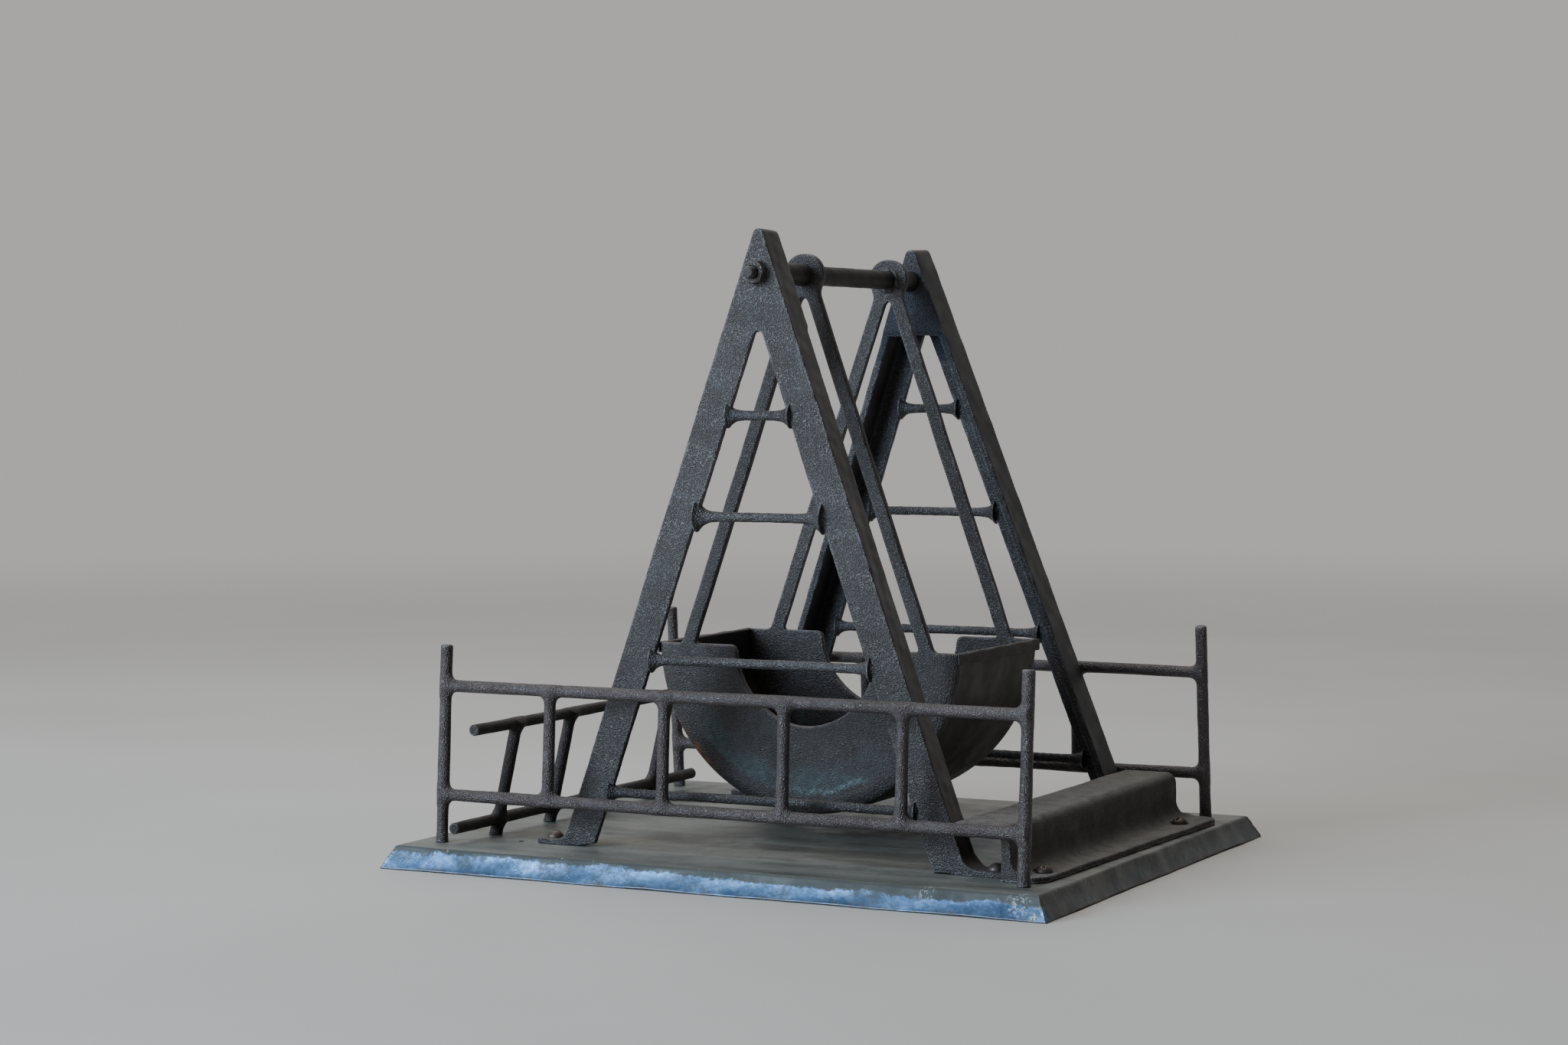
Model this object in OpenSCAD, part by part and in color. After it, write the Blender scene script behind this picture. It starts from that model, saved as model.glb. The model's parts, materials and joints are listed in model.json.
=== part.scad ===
// Model swing boat: a half-round gondola on two cast hangers swings on a
// through bolt between two A-frames, on a folded sheet-metal tray with
// round-bar railings, a leaning side fence and a cast sill.
// X runs along the front railing, Y from front to back, Z is up.
// The origin is on the ground, in the middle of the tray.

/* [Base tray] */
// Length of the tray along X, over the flared skirt
tray_len = 375; // [370:1:400]
// Width of the tray along Y, over the flared skirt
tray_wid = 310; // [306:1:330]
// Height of the tray's top face above the ground
tray_h = 12; // [11:0.5:16]
// How far each skirt flares out from the top fold to the ground
skirt_flare = 6.5; // [4:0.5:8]
// Thickness of the tray's sheet
sheet_t = 1.5; // [1:0.1:2]

/* [A-frames] */
// X position of the swing's axis and of both A-frames' tops
frame_x = 7.5; // [0:0.5:10]
// How far the middle of the feet stands to +X of the top
foot_shift = 5; // [0:0.5:6]
// Distance of the outer faces from the tray's middle at the axis: front, rear
frame_top = [101, 103.5];
// Distance of the outer faces from the tray's middle at the feet: front, rear
frame_foot = [111.4, 115.6];
// Half of the spread of the legs at the foot
leg_spread = 115.4; // [110:0.2:118]
// Height of the sharp apex of the outer edges above the tray: front, rear
apex_h = [324.6, 320.6];
// Horizontal width of a leg: front, rear
leg_w = [18.8, 17.4];
// Thickness of a leg's face plate
web_t = 3.4; // [3:0.2:5]
// Depth of the flange along a leg's outer edge: front, rear
flange_d = [16.4, 20.6];
// Thickness of that flange
flange_t = 4; // [3:0.5:5]
// Depth of the solid block at the apex: front, rear
block_d = [18, 21.6];
// Height of the block's lower face above the tray
block_z = 267; // [262:1:270]
// How far the frame's flat top lies below the sharp apex
apex_cut = 6; // [4:0.5:8]
// How far the flat top of the opening lies below its sharp apex
open_cut = 5; // [4:0.5:6]
// Length of the foot tabs: left, right
tab_len = [16.4, 20.4];
// Depth of each foot tab
tab_d = 15; // [13:0.5:16]
// Thickness of each foot tab
tab_t = 3; // [2:0.5:4]
// Heights of the front frame's rungs above the tray
front_rung_z = [223.8, 172.4, 98.4, 29.2];
// Heights of the rear frame's rungs above the tray
rear_rung_z = [225.3, 167.4, 100.4, 31];
// Diameter of a rung
rung_d = 3.8; // [3:0.2:4.4]

/* [Swing] */
// Height of the swing's axis above the tray
axis_h = 296.2; // [294:0.2:300]
// Diameter of the through bolt
bolt_d = 6; // [5:0.5:7]
// How far the bolt stands out of each frame
bolt_stub = 10; // [8:0.5:12]
// Width of the bolt's nuts across the flats
nut_af = 11.4; // [10.5:0.1:12]
// Thickness of the bolt's nuts
nut_t = 5; // [4:0.5:6]
// Outer diameter of the tube between the hangers
tube_d = 10.2; // [9:0.1:11]
// Outer diameter of the spacers between hangers and frames
spacer_d = 11.6; // [11:0.2:12]
// Y of the front hanger's front face
hanger_front = -49.5; // [-51:0.5:-48]
// Y of the rear hanger's rear face
hanger_rear = 56.5; // [54:0.5:58]
// Thickness of the hangers
hanger_t = 4; // [3:0.5:5]
// Radius of the hanger's eye disc
eye_r = 11.3; // [10.5:0.1:12.5]
// Width of a hanger's strap
strap_w = 7.4; // [6.5:0.1:8]
// Half of the spread of the straps at the rim
strap_spread = 69.5; // [66:0.5:74]

/* [Gondola] */
// Outer radius of the gondola
tub_r = 87.5; // [85:0.5:89]
// Height of its rim above the tray
rim_h = 102.2; // [100:0.2:104]
// Thickness of the gondola's sheet
tub_t = 2; // [1.5:0.1:2.5]
// Radius of the entry cut in the end plates
entry_r = 41; // [38:0.5:44]
// Radius of the end plates' inner top corners
lobe_r = 5; // [4:0.5:6]
// Height of the strip round the rim's outside
strip_h = 6; // [5:0.5:7]
// Thickness of that strip
strip_t = 1.2; // [1:0.1:1.5]

/* [Railings] */
// Diameter of all railing bars
bar_d = 6.35; // [6:0.05:6.8]
// X of the railings' end posts
post_x = 165.5; // [163:0.5:167]
// Y of the front railing's foot
front_rail_y = -129.8; // [-132:0.1:-128]
// Inward lean of the front railing, in degrees
front_lean = 3.5; // [0:0.5:5]
// Length of the front posts
front_post_h = 103.6; // [100:0.2:108]
// Height of the front top bar
front_top_h = 82; // [78:0.5:86]
// Height of the front bottom bar
front_bottom_h = 25; // [22:0.5:28]
// X of the front balusters
front_bal_x = [-101.3, -33.6, 34.7, 99.9];
// Y of the rear railing's foot
rear_rail_y = 125.8; // [124:0.1:128]
// Inward lean of the rear railing, in degrees
rear_lean = 4.5; // [0:0.5:5]
// Length of the rear posts
rear_post_h = 107.6; // [104:0.2:110]
// Height of the rear top bar
rear_top_h = 81.6; // [78:0.2:86]
// Height of the rear bottom bar
rear_bottom_h = 25.6; // [22:0.2:28]
// X of the rear balusters
rear_bal_x = [-104, -39, 26, 91];

/* [Side fence] */
// X of the fence's feet
fence_x = -155; // [-156:0.5:-152]
// Lean of the fence towards the swing, in degrees
fence_lean = 12.8; // [8:0.2:14]
// Y of the fence's posts
fence_post_y = [-94, -39, 16, 71];
// Length of the fence's posts
fence_h = 62; // [58:0.5:64]
// Height of the fence's bottom bar along the posts
fence_low = 9; // [8:0.5:14]
// Front ends of the top and the bottom bar
fence_y0 = [-136, -138];
// Rear ends of the top and the bottom bar
fence_y1 = [114, 118];

/* [Sill] */
// X of the inner face of the sill's web
sill_x = 149.5; // [149:0.5:151]
// Front end of the web
sill_y0 = -121; // [-124:1:-118]
// Rear end of the web
sill_y1 = 109; // [100:1:110]
// Height of the sill
sill_h = 27.4; // [24:0.2:28]
// Thickness of the web
sill_web = 5.5; // [5:0.5:8]
// Thickness of the two flanges
sill_t = 3.2; // [2.6:0.2:4]
// Inward reach of the top flange
sill_in = 24.5; // [22:0.5:26]
// Outward reach of the bottom flange: front, rear
sill_out = [16.5, 22.5];

/* [Fasteners] */
// Diameter of the round screw heads
head_d = 9.4; // [8:0.2:10]
// Height of the round screw heads
head_h = 3.6; // [3:0.2:4.4]
// Diameter of the screws and tenons through the tray
shank_d = 4; // [3:0.5:4.5]
// Width across flats of the small nuts
small_af = 7; // [6.5:0.5:8]

/* [Hidden] */
$fn = 48;

// apex of the openings, above the tray
open_h = [for (i = [0, 1]) apex_h[i] - leg_w[i] * apex_h[i] / leg_spread];
// lean of each A-frame: its feet stand further out than its top
frame_lean = [for (i = [0, 1]) atan((frame_foot[i] - frame_top[i]) / axis_h)];
axis_z = tray_h + axis_h;
rim_z = tray_h + rim_h;
// X of the screws in the foot tabs, from the swing's axis
tab_screw_x = [foot_shift - leg_spread - 7.8, foot_shift + leg_spread + 13.2];
// Y of those screws behind the outer face
tab_screw_y = 6;
sill_screw_xy = [[164.5, -102], [166.5, 82]];
spare_hole = [-128.6, -108.3];
strap_top = 1.2;
small_nut_t = 3;
under_z = tray_h - sheet_t;
// centre line of a hanger strap leans by this angle
strap_a = atan((strap_spread - strap_top) / (axis_h - rim_h));

// frame screw positions: [x, y]
function frame_screw_xy() = [for (x = tab_screw_x)
  for (i = [0, 1]) [frame_x + x, (2 * i - 1) * (frame_foot[i] - tab_screw_y)]];
function rail_post_xy() = [for (x = [-post_x, post_x])
  for (y = [front_rail_y, rear_rail_y]) [x, y]];
function fence_post_xy() = [for (y = fence_post_y) [fence_x, y]];

// a 2D shape drawn in X-Z, extruded along +Y from y0 by d
module along_y(y0, d) {
  translate([0, y0 + d, 0]) rotate([90, 0, 0]) linear_extrude(height = d) children();
}

// a cylinder along Y
module cyl_y(y0, y1, d) {
  translate([0, y0, 0]) rotate([-90, 0, 0]) cylinder(d = d, h = y1 - y0);
}

// a hexagonal nut along +Z with its bore
module hex_nut(af, t, bore) {
  difference() {
    cylinder(d = af / cos(30), h = t, $fn = 6);
    translate([0, 0, -1]) cylinder(d = bore, h = t + 2);
  }
}

// rectangular frustum: half sizes at the ground and at the top
module frustum(ax, ay, bx, by, h) {
  intersection() {
    along_y(-ay - 1, 2 * ay + 2) polygon([[-ax, 0], [ax, 0], [bx, h], [-bx, h]]);
    rotate([0, 0, 90]) along_y(-ax - 1, 2 * ax + 2)
      polygon([[-ay, 0], [ay, 0], [by, h], [-by, h]]);
  }
}

/* ---------- base ---------- */
module base_tray() {
  a = tray_len / 2; b = tray_wid / 2; f = skirt_flare;
  // horizontal thickness of the sloping sheet
  k = sheet_t / cos(atan(f / tray_h));
  g = f * (tray_h - sheet_t) / tray_h;
  color("#5d6660") difference() {
    frustum(a, b, a - f, b - f, tray_h);
    translate([0, 0, -0.01]) frustum(a - k, b - k, a - k - g, b - k - g, tray_h - sheet_t + 0.01);
    for (p = frame_screw_xy()) translate([p[0], p[1], 0]) cylinder(d = shank_d + 0.2, h = 40);
    for (p = sill_screw_xy) translate([p[0], p[1], 0]) cylinder(d = shank_d + 0.2, h = 40);
    for (p = rail_post_xy()) translate([p[0], p[1], 0]) cylinder(d = shank_d + 0.2, h = 40);
    for (p = fence_post_xy()) translate([p[0], p[1], 0]) cylinder(d = shank_d + 0.2, h = 40);
    translate([spare_hole[0], spare_hole[1], 0]) cylinder(d = 4.6, h = 40);
  }
}

/* ---------- A-frames ---------- */
// triangle on feet at -a and b with its apex at (0, h), cut flat by c, run on by e below
module wedge(a, b, h, c, e = 12) {
  polygon([[-a * (1 + e / h), -e], [b * (1 + e / h), -e], [b * c / h, h - c], [-a * c / h, h - c]]);
}
// solid A outline in X-Z above the tray, the axis at x = 0
module a_outline(i) {
  wedge(leg_spread - foot_shift, leg_spread + foot_shift, apex_h[i], apex_cut);
}
// the opening between the legs
module a_opening(i) {
  f = foot_shift * open_h[i] / apex_h[i];
  w = leg_spread - leg_w[i];
  translate([foot_shift - f, 0]) wedge(w - f, w + f, open_h[i], open_cut, 20);
}
// the channel between the two flanges, up to the block
module a_channel(i) {
  t = flange_t * sqrt(1 + pow(leg_spread / apex_h[i], 2));
  // half width and middle at height z
  function hw(z) = leg_spread * (1 - z / apex_h[i]) - t;
  function cx(z) = foot_shift * (1 - z / apex_h[i]);
  polygon([[cx(-25) - hw(-25), -25], [cx(-25) + hw(-25), -25],
    [cx(block_z) + hw(block_z), block_z], [cx(block_z) - hw(block_z), block_z]]);
}
// s = -1 left, 1 right; foot edge at x = 0, outer edge at y = 0
module foot_tab(s, len) {
  r = 4;
  mirror([s < 0 ? 1 : 0, 0, 0]) {
    translate([-1, 0, 0]) cube([len - r + 1, tab_d, tab_t]);
    translate([len - r - 1, r, 0]) cube([r + 1, tab_d - 2 * r, tab_t]);
    for (y = [r, tab_d - r]) translate([len - r, y, 0]) cylinder(r = r, h = tab_t);
  }
}
// lean in or out about the swing's axis
module frame_plane(i) {
  translate([0, 0, axis_h]) rotate([-frame_lean[i], 0, 0]) translate([0, 0, -axis_h]) children();
}
// outer face at y = 0 at the axis, depth towards +Y, tray at z = 0
module a_frame(i) {
  yf = frame_top[i] - frame_foot[i];
  difference() {
    union() {
      difference() {
        frame_plane(i) difference() {
          along_y(0, block_d[i]) a_outline(i);
          along_y(-1, block_d[i] + 2) a_opening(i);
          along_y(web_t, block_d[i]) a_channel(i);
          // the flanges are less deep than the block
          translate([-200, flange_d[i], -40]) cube([400, 20, block_z + 40]);
        }
        translate([-200, -60, -30]) cube([400, 120, 30]);
      }
      translate([foot_shift - leg_spread, yf - 0.6, 0]) foot_tab(-1, tab_len[0]);
      translate([foot_shift + leg_spread, yf - 0.6, 0]) foot_tab(1, tab_len[1]);
    }
    translate([0, 0, axis_h]) cyl_y(-5, block_d[i] + 5, bolt_d + 0.1);
    for (x = tab_screw_x) translate([x, yf + tab_screw_y, -1]) cylinder(d = shank_d + 0.2, h = 10);
  }
}
module rungs(i, zs) {
  frame_plane(i) difference() {
    for (z = zs) translate([foot_shift * (1 - z / apex_h[i]), rung_d / 2, z]) rotate([0, 90, 0])
      cylinder(d = rung_d, h = 2 * (open_h[i] - z) * leg_spread / apex_h[i] + 6, center = true);
    along_y(-2, rung_d + 6) difference() { a_outline(i); a_opening(i); }
  }
}
module front_at() { translate([frame_x, -frame_top[0], tray_h]) children(); }
module rear_at() { translate([frame_x, frame_top[1], tray_h]) mirror([0, 1, 0]) children(); }
module front_a_frame() { color("#34302f") front_at() a_frame(0); }
module rear_a_frame() { color("#34302f") rear_at() a_frame(1); }
module front_rungs() { color("#3b3634") front_at() rungs(0, front_rung_z); }
module rear_rungs() { color("#3b3634") rear_at() rungs(1, rear_rung_z); }

/* ---------- swing ---------- */
module through_bolt() {
  color("#2b2928") translate([frame_x, 0, axis_z])
    cyl_y(-frame_top[0] - bolt_stub, frame_top[1] + bolt_stub, bolt_d);
}
module bolt_nuts() {
  // a little off the leaning faces
  color("#2f2c2a") for (i = [0, 1]) mirror([0, i, 0])
    translate([frame_x, -frame_top[i] - 0.3, axis_z]) rotate([90, 0, 0]) rotate([0, 0, 12])
      hex_nut(nut_af, nut_t, bolt_d + 0.04);
}
module outer_spacers() {
  g = 0.4;
  color("#2b2928") translate([frame_x, 0, axis_z]) difference() {
    union() {
      cyl_y(-frame_top[0] + block_d[0] + 0.3, hanger_front - g, spacer_d);
      cyl_y(hanger_rear + g, frame_top[1] - block_d[1] - 0.3, spacer_d);
    }
    cyl_y(-frame_top[0], frame_top[1], bolt_d + 0.1);
  }
}
module swing_tube() {
  color("#262423") translate([frame_x, 0, axis_z]) difference() {
    cyl_y(hanger_front, hanger_rear, tube_d);
    cyl_y(hanger_front - 1, hanger_rear + 1, bolt_d + 0.1);
  }
}
// end plate with its entry cut, in X-Z about the middle of the rim
module end_plate() {
  w = entry_r + lobe_r;
  difference() {
    intersection() {
      circle(r = tub_r, $fn = 96);
      translate([-100, -100]) square([200, 100]);
    }
    circle(r = entry_r, $fn = 96);
    // round inner top corners
    for (s = [-1, 1]) difference() {
      translate([s > 0 ? entry_r - 1 : -w, -lobe_r]) square([lobe_r + 1, lobe_r + 1]);
      translate([s * w, -lobe_r]) circle(r = lobe_r);
    }
  }
}
// the right strap, about the swing's axis
module strap() {
  w = strap_w / 2 / cos(strap_a);
  z = axis_h - rim_h + 6;
  x = z * tan(strap_a);
  // the strap starts a little above the axis, inside the eye
  t = 2;
  u = t * tan(strap_a);
  polygon([[strap_top + w - u, t], [strap_top - w - u, t],
    [strap_top - w + x, -z], [strap_top + w + x, -z]]);
}
// front face at y = 0, the swing's axis at the origin
module hanger() {
  difference() {
    union() {
      along_y(0, hanger_t) circle(r = eye_r);
      along_y(0, hanger_t) strap();
      along_y(0, hanger_t) mirror([1, 0]) strap();
      along_y(0, hanger_t) translate([0, rim_h - axis_h]) end_plate();
    }
    cyl_y(-1, hanger_t + 1, tube_d + 0.04);
  }
}
module front_hanger() { color("#302f33") translate([frame_x, hanger_front, axis_z]) hanger(); }
module rear_hanger() { color("#302f33") translate([frame_x, hanger_rear - hanger_t, axis_z]) hanger(); }
module gondola_shell() {
  color("#2c2826") translate([frame_x, 0, rim_z])
    along_y(hanger_front + hanger_t, hanger_rear - hanger_front - 2 * hanger_t) intersection() {
      difference() { circle(r = tub_r, $fn = 96); circle(r = tub_r - tub_t, $fn = 96); }
      translate([-100, -100]) square([200, 100]);
    }
}
module rim_strips() {
  color("#2c2826") translate([frame_x, 0, rim_z])
    along_y(hanger_front + 0.5, hanger_rear - hanger_front - 1) intersection() {
      difference() { circle(r = tub_r + strip_t, $fn = 96); circle(r = tub_r, $fn = 96); }
      translate([-100, -strip_h]) square([200, strip_h]);
    }
}

/* ---------- railings ---------- */
// upright bar in the railing's own plane
module bar_z(x, z0, z1) { translate([x, 0, z0]) cylinder(d = bar_d, h = z1 - z0); }
module bar_x(z, x0, x1) { translate([x0, 0, z]) rotate([0, 90, 0]) cylinder(d = bar_d, h = x1 - x0); }
// place a railing: foot line at y, lean towards the swing, s = 1 front, -1 rear
module railing_at(y, lean, s) { translate([0, y, tray_h]) rotate([-s * lean, 0, 0]) children(); }
module posts(y, lean, s, h) {
  difference() {
    railing_at(y, lean, s) for (x = [-post_x, post_x]) {
      bar_z(x, -2, h);
      translate([x, 0, -2]) cylinder(d1 = bar_d + 1.8, d2 = bar_d, h = 9);
    }
    translate([-200, y - 20, tray_h - 10]) cube([400, 40, 10]);
  }
  for (x = [-post_x, post_x]) translate([x, y, under_z - small_nut_t - 1])
    cylinder(d = shank_d, h = tray_h - under_z + small_nut_t + 2);
}
module long_bar(y, lean, s, z) {
  railing_at(y, lean, s) difference() {
    bar_x(z, -post_x, post_x);
    for (x = [-post_x, post_x]) bar_z(x, z - 10, z + 10);
  }
}
module balusters(y, lean, s, z0, z1, xs) {
  railing_at(y, lean, s) difference() {
    for (x = xs) bar_z(x, z0, z1);
    bar_x(z0, -post_x, post_x);
    bar_x(z1, -post_x, post_x);
  }
}
module front_posts() { color("#3d3736") posts(front_rail_y, front_lean, 1, front_post_h); }
module front_top_rail() { color("#3d3736") long_bar(front_rail_y, front_lean, 1, front_top_h); }
module front_bottom_rail() { color("#3d3736") long_bar(front_rail_y, front_lean, 1, front_bottom_h); }
module front_balusters() {
  color("#3d3736") balusters(front_rail_y, front_lean, 1, front_bottom_h, front_top_h, front_bal_x);
}
module rear_posts() { color("#3d3736") posts(rear_rail_y, rear_lean, -1, rear_post_h); }
module rear_top_rail() { color("#3d3736") long_bar(rear_rail_y, rear_lean, -1, rear_top_h); }
module rear_bottom_rail() { color("#3d3736") long_bar(rear_rail_y, rear_lean, -1, rear_bottom_h); }
module rear_balusters() {
  color("#3d3736") balusters(rear_rail_y, rear_lean, -1, rear_bottom_h, rear_top_h, rear_bal_x);
}

/* ---------- side fence ---------- */
module fence_at() { translate([fence_x, 0, tray_h]) rotate([0, fence_lean, 0]) children(); }
module fence_bar(z, y0, y1) { translate([0, 0, z]) cyl_y(y0, y1, bar_d - 0.3); }
module fence_posts() {
  color("#35312f") {
    difference() {
      fence_at() difference() {
        for (y = fence_post_y) {
          translate([0, y, -4]) cylinder(d = bar_d, h = fence_h + 4);
          translate([0, y, -4]) cylinder(d1 = bar_d + 2.4, d2 = bar_d, h = 8);
        }
        fence_bar(fence_h, fence_y0[0], fence_y1[0]);
        fence_bar(fence_low, fence_y0[1], fence_y1[1]);
      }
      translate([fence_x - 20, -200, tray_h - 10]) cube([40, 400, 10]);
    }
    for (p = fence_post_xy()) translate([p[0], p[1], under_z - small_nut_t - 1])
      cylinder(d = shank_d, h = tray_h - under_z + small_nut_t + 2);
  }
}
module fence_top_rail() { color("#35312f") fence_at() fence_bar(fence_h, fence_y0[0], fence_y1[0]); }
module fence_bottom_rail() { color("#35312f") fence_at() fence_bar(fence_low, fence_y0[1], fence_y1[1]); }

/* ---------- sill ---------- */
module sill_section() {
  r = 6; f = 9; q = 5;
  h = sill_h; w = sill_web; t = sill_t;
  // web with the round outer top edge
  square([w, h - r]);
  translate([0, h - r - 0.01]) square([w - r + 0.01, r + 0.01]);
  intersection() { translate([w - r, h - r]) circle(r = r); translate([w - r, h - r]) square([r, r]); }
  // flanges
  translate([-sill_in, h - t]) square([sill_in + 0.5, t]);
  square([w + sill_out[1], t]);
  // fillet of web and bottom flange
  difference() { translate([w - 0.1, t - 0.1]) square([f + 0.1, f + 0.1]); translate([w + f, t + f]) circle(r = f); }
  // fillet under the top flange
  difference() { translate([-q, h - t - q]) square([q + 0.1, q + 0.1]); translate([-q, h - t - q]) circle(r = q); }
}
// plan of the sill: the bottom flange widens to the rear, with round corners
module sill_plan(y0, y1) {
  r = 11;
  xw = sill_x + sill_web;
  a = atan((sill_out[1] - sill_out[0]) / (sill_y1 - sill_y0));
  // outer edge at a given y
  function xo(y) = xw + sill_out[0] + (y - sill_y0) * tan(a);
  // centres of the corners, r inside the sloping edge
  cf = [xo(y0 + r) - r / cos(a), y0 + r];
  cr = [xo(y1 - r) - r / cos(a), y1 - r];
  polygon([[sill_x - sill_in - 1, y0], [cf[0], y0], cf + r * [cos(a), -sin(a)],
    cr + r * [cos(a), -sin(a)], [cr[0], y1], [sill_x - sill_in - 1, y1]]);
  for (c = [cf, cr]) translate(c) circle(r = r);
}
module side_sill() {
  yb0 = sill_y0 - 1; yb1 = sill_y1 + 7;
  color("#423c38") difference() {
    union() {
      // section over the web's length
      intersection() {
        translate([sill_x, 0, tray_h]) along_y(sill_y0, sill_y1 - sill_y0) sill_section();
        translate([0, 0, tray_h - 1]) linear_extrude(height = sill_h + 2) sill_plan(yb0, yb1);
      }
      // the bottom flange runs on past the web at the rear
      intersection() {
        translate([0, 0, tray_h]) linear_extrude(height = sill_t) sill_plan(yb0, yb1);
        translate([sill_x, sill_y1 - 6, tray_h - 1]) cube([60, 20, 10]);
      }
    }
    for (p = sill_screw_xy) translate([p[0], p[1], tray_h - 1]) {
      cylinder(d = shank_d + 0.2, h = 20);
      translate([0, 0, 1 + sill_t]) cylinder(d = head_d + 1, h = 20);
    }
  }
}

/* ---------- fasteners ---------- */
// round slotted screw, the seat of its head at z = 0
module screw(len, a) {
  rr = (head_d * head_d / 4 + head_h * head_h) / (2 * head_h);
  difference() {
    union() {
      intersection() {
        translate([0, 0, head_h - rr]) sphere(r = rr);
        cylinder(d = head_d + 1, h = head_h + 1);
      }
      translate([0, 0, -len]) cylinder(d = shank_d, h = len + 0.5);
    }
    rotate([0, 0, a]) translate([-head_d, -0.6, head_h - 1.5]) cube([2 * head_d, 1.2, 3]);
  }
}
module frame_screws() {
  l = tab_t + sheet_t + small_nut_t + 1;
  color("#4a3d33") for (i = [0:3]) translate([frame_screw_xy()[i][0], frame_screw_xy()[i][1], tray_h + tab_t])
    screw(l, [35, 80, 20, 130][i]);
}
module sill_screws() {
  l = sill_t + sheet_t + small_nut_t + 1;
  color("#4a3d33") for (i = [0, 1]) translate([sill_screw_xy[i][0], sill_screw_xy[i][1], tray_h + sill_t])
    screw(l, [110, 75][i]);
}
module screw_nuts() {
  color("#4a4643") for (p = concat(frame_screw_xy(), sill_screw_xy))
    translate([p[0], p[1], under_z - small_nut_t]) hex_nut(small_af, small_nut_t, shank_d + 0.04);
}
module post_nuts() {
  color("#4a4643") for (p = concat(rail_post_xy(), fence_post_xy()))
    translate([p[0], p[1], under_z - small_nut_t]) hex_nut(small_af, small_nut_t, shank_d + 0.04);
}

base_tray();
front_a_frame();
rear_a_frame();
front_rungs();
rear_rungs();
through_bolt();
bolt_nuts();
outer_spacers();
swing_tube();
front_hanger();
rear_hanger();
gondola_shell();
rim_strips();
front_posts();
front_top_rail();
front_bottom_rail();
front_balusters();
rear_posts();
rear_top_rail();
rear_bottom_rail();
rear_balusters();
fence_posts();
fence_top_rail();
fence_bottom_rail();
side_sill();
frame_screws();
sill_screws();
screw_nuts();
post_nuts();
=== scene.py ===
import json
import math

import bmesh
import bpy
import numpy as np
from mathutils import Matrix, Vector


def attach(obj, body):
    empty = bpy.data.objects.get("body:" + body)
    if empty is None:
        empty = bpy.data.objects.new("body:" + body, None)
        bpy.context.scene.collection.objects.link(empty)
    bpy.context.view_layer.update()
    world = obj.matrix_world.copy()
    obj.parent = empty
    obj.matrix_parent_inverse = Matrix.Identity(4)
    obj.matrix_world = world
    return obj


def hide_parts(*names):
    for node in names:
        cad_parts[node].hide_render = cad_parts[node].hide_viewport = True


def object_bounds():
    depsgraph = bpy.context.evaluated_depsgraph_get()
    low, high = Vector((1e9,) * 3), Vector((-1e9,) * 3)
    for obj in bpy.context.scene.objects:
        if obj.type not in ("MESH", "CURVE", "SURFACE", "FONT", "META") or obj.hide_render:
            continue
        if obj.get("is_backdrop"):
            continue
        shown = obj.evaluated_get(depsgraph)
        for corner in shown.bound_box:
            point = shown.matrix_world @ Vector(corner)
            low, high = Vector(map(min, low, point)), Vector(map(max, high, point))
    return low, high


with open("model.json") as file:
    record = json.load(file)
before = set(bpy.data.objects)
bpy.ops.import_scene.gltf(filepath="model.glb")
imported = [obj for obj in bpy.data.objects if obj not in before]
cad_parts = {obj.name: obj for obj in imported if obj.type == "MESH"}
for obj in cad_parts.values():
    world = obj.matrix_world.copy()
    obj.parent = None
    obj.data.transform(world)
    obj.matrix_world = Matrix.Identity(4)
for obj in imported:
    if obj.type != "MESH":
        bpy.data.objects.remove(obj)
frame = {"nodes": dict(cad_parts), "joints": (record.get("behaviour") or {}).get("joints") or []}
box0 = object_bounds()

# ------------------------------------------------------------------ sizes, as in the CAD source
TRAY_L, TRAY_W, TRAY_H, FLARE, SHEET = 375.0, 310.0, 12.0, 6.5, 1.5
joint = frame["joints"][0]
AX, AXZ = joint["pos_m"][0] * 1000, joint["pos_m"][2] * 1000
SHIFT, SPREAD = 5.0, 115.4
TOP, FOOT = (101.0, 103.5), (111.4, 115.6)
APEX, LEGW = (324.6, 320.6), (18.8, 17.4)
WEB, FLANGE_D, FLANGE_T = 3.4, (16.4, 20.6), 4.0
BLOCK_D, BLOCK_Z = (18.0, 21.6), 267.0
TAB_LEN, TAB_D, TAB_T = (16.4, 20.4), 15.0, 3.0
AXH = AXZ - TRAY_H
BOLT_D, STUB = 6.0, 10.0
NUT_AF, NUT_T = 11.4, 5.0
TUBE_D, SPACER_D = 10.2, 11.6
HF, HR, HT = -49.5, 56.5, 4.0
EYE_R, STRAP_W, STRAP_TOP, STRAP_SPREAD = 11.3, 7.4, 1.2, 69.5
TUB_R, RIM_H, TUB_T, ENTRY_R = 87.5, 102.2, 2.0, 41.0
RIM_Z = TRAY_H + RIM_H
BAR_D, POST_X = 6.35, 165.5
FENCE_X, FENCE_LEAN, FENCE_H, FENCE_LOW = -155.0, 12.8, 62.0, 9.0
FENCE_Y = (-94.0, -39.0, 16.0, 71.0)
SILL_X, SILL_Y0, SILL_Y1, SILL_H, SILL_WEB, SILL_T, SILL_IN, SILL_OUT = 149.5, -121.0, 109.0, 27.4, 5.5, 3.2, 24.5, (16.5, 22.5)
HEAD_D, HEAD_H = 9.4, 3.6
LEAN = tuple(math.atan((FOOT[i] - TOP[i]) / AXH) for i in (0, 1))
OPEN_H = tuple(APEX[i] - LEGW[i] * APEX[i] / SPREAD for i in (0, 1))
SCREWS_TAB = [(AX + x, (2 * i - 1) * (FOOT[i] - 6.0)) for x in (SHIFT - SPREAD - 7.8, SHIFT + SPREAD + 13.2) for i in (0, 1)]
SCREWS_SILL = [(164.5, -102.0), (166.5, 82.0)]

f32 = np.float32


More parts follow.
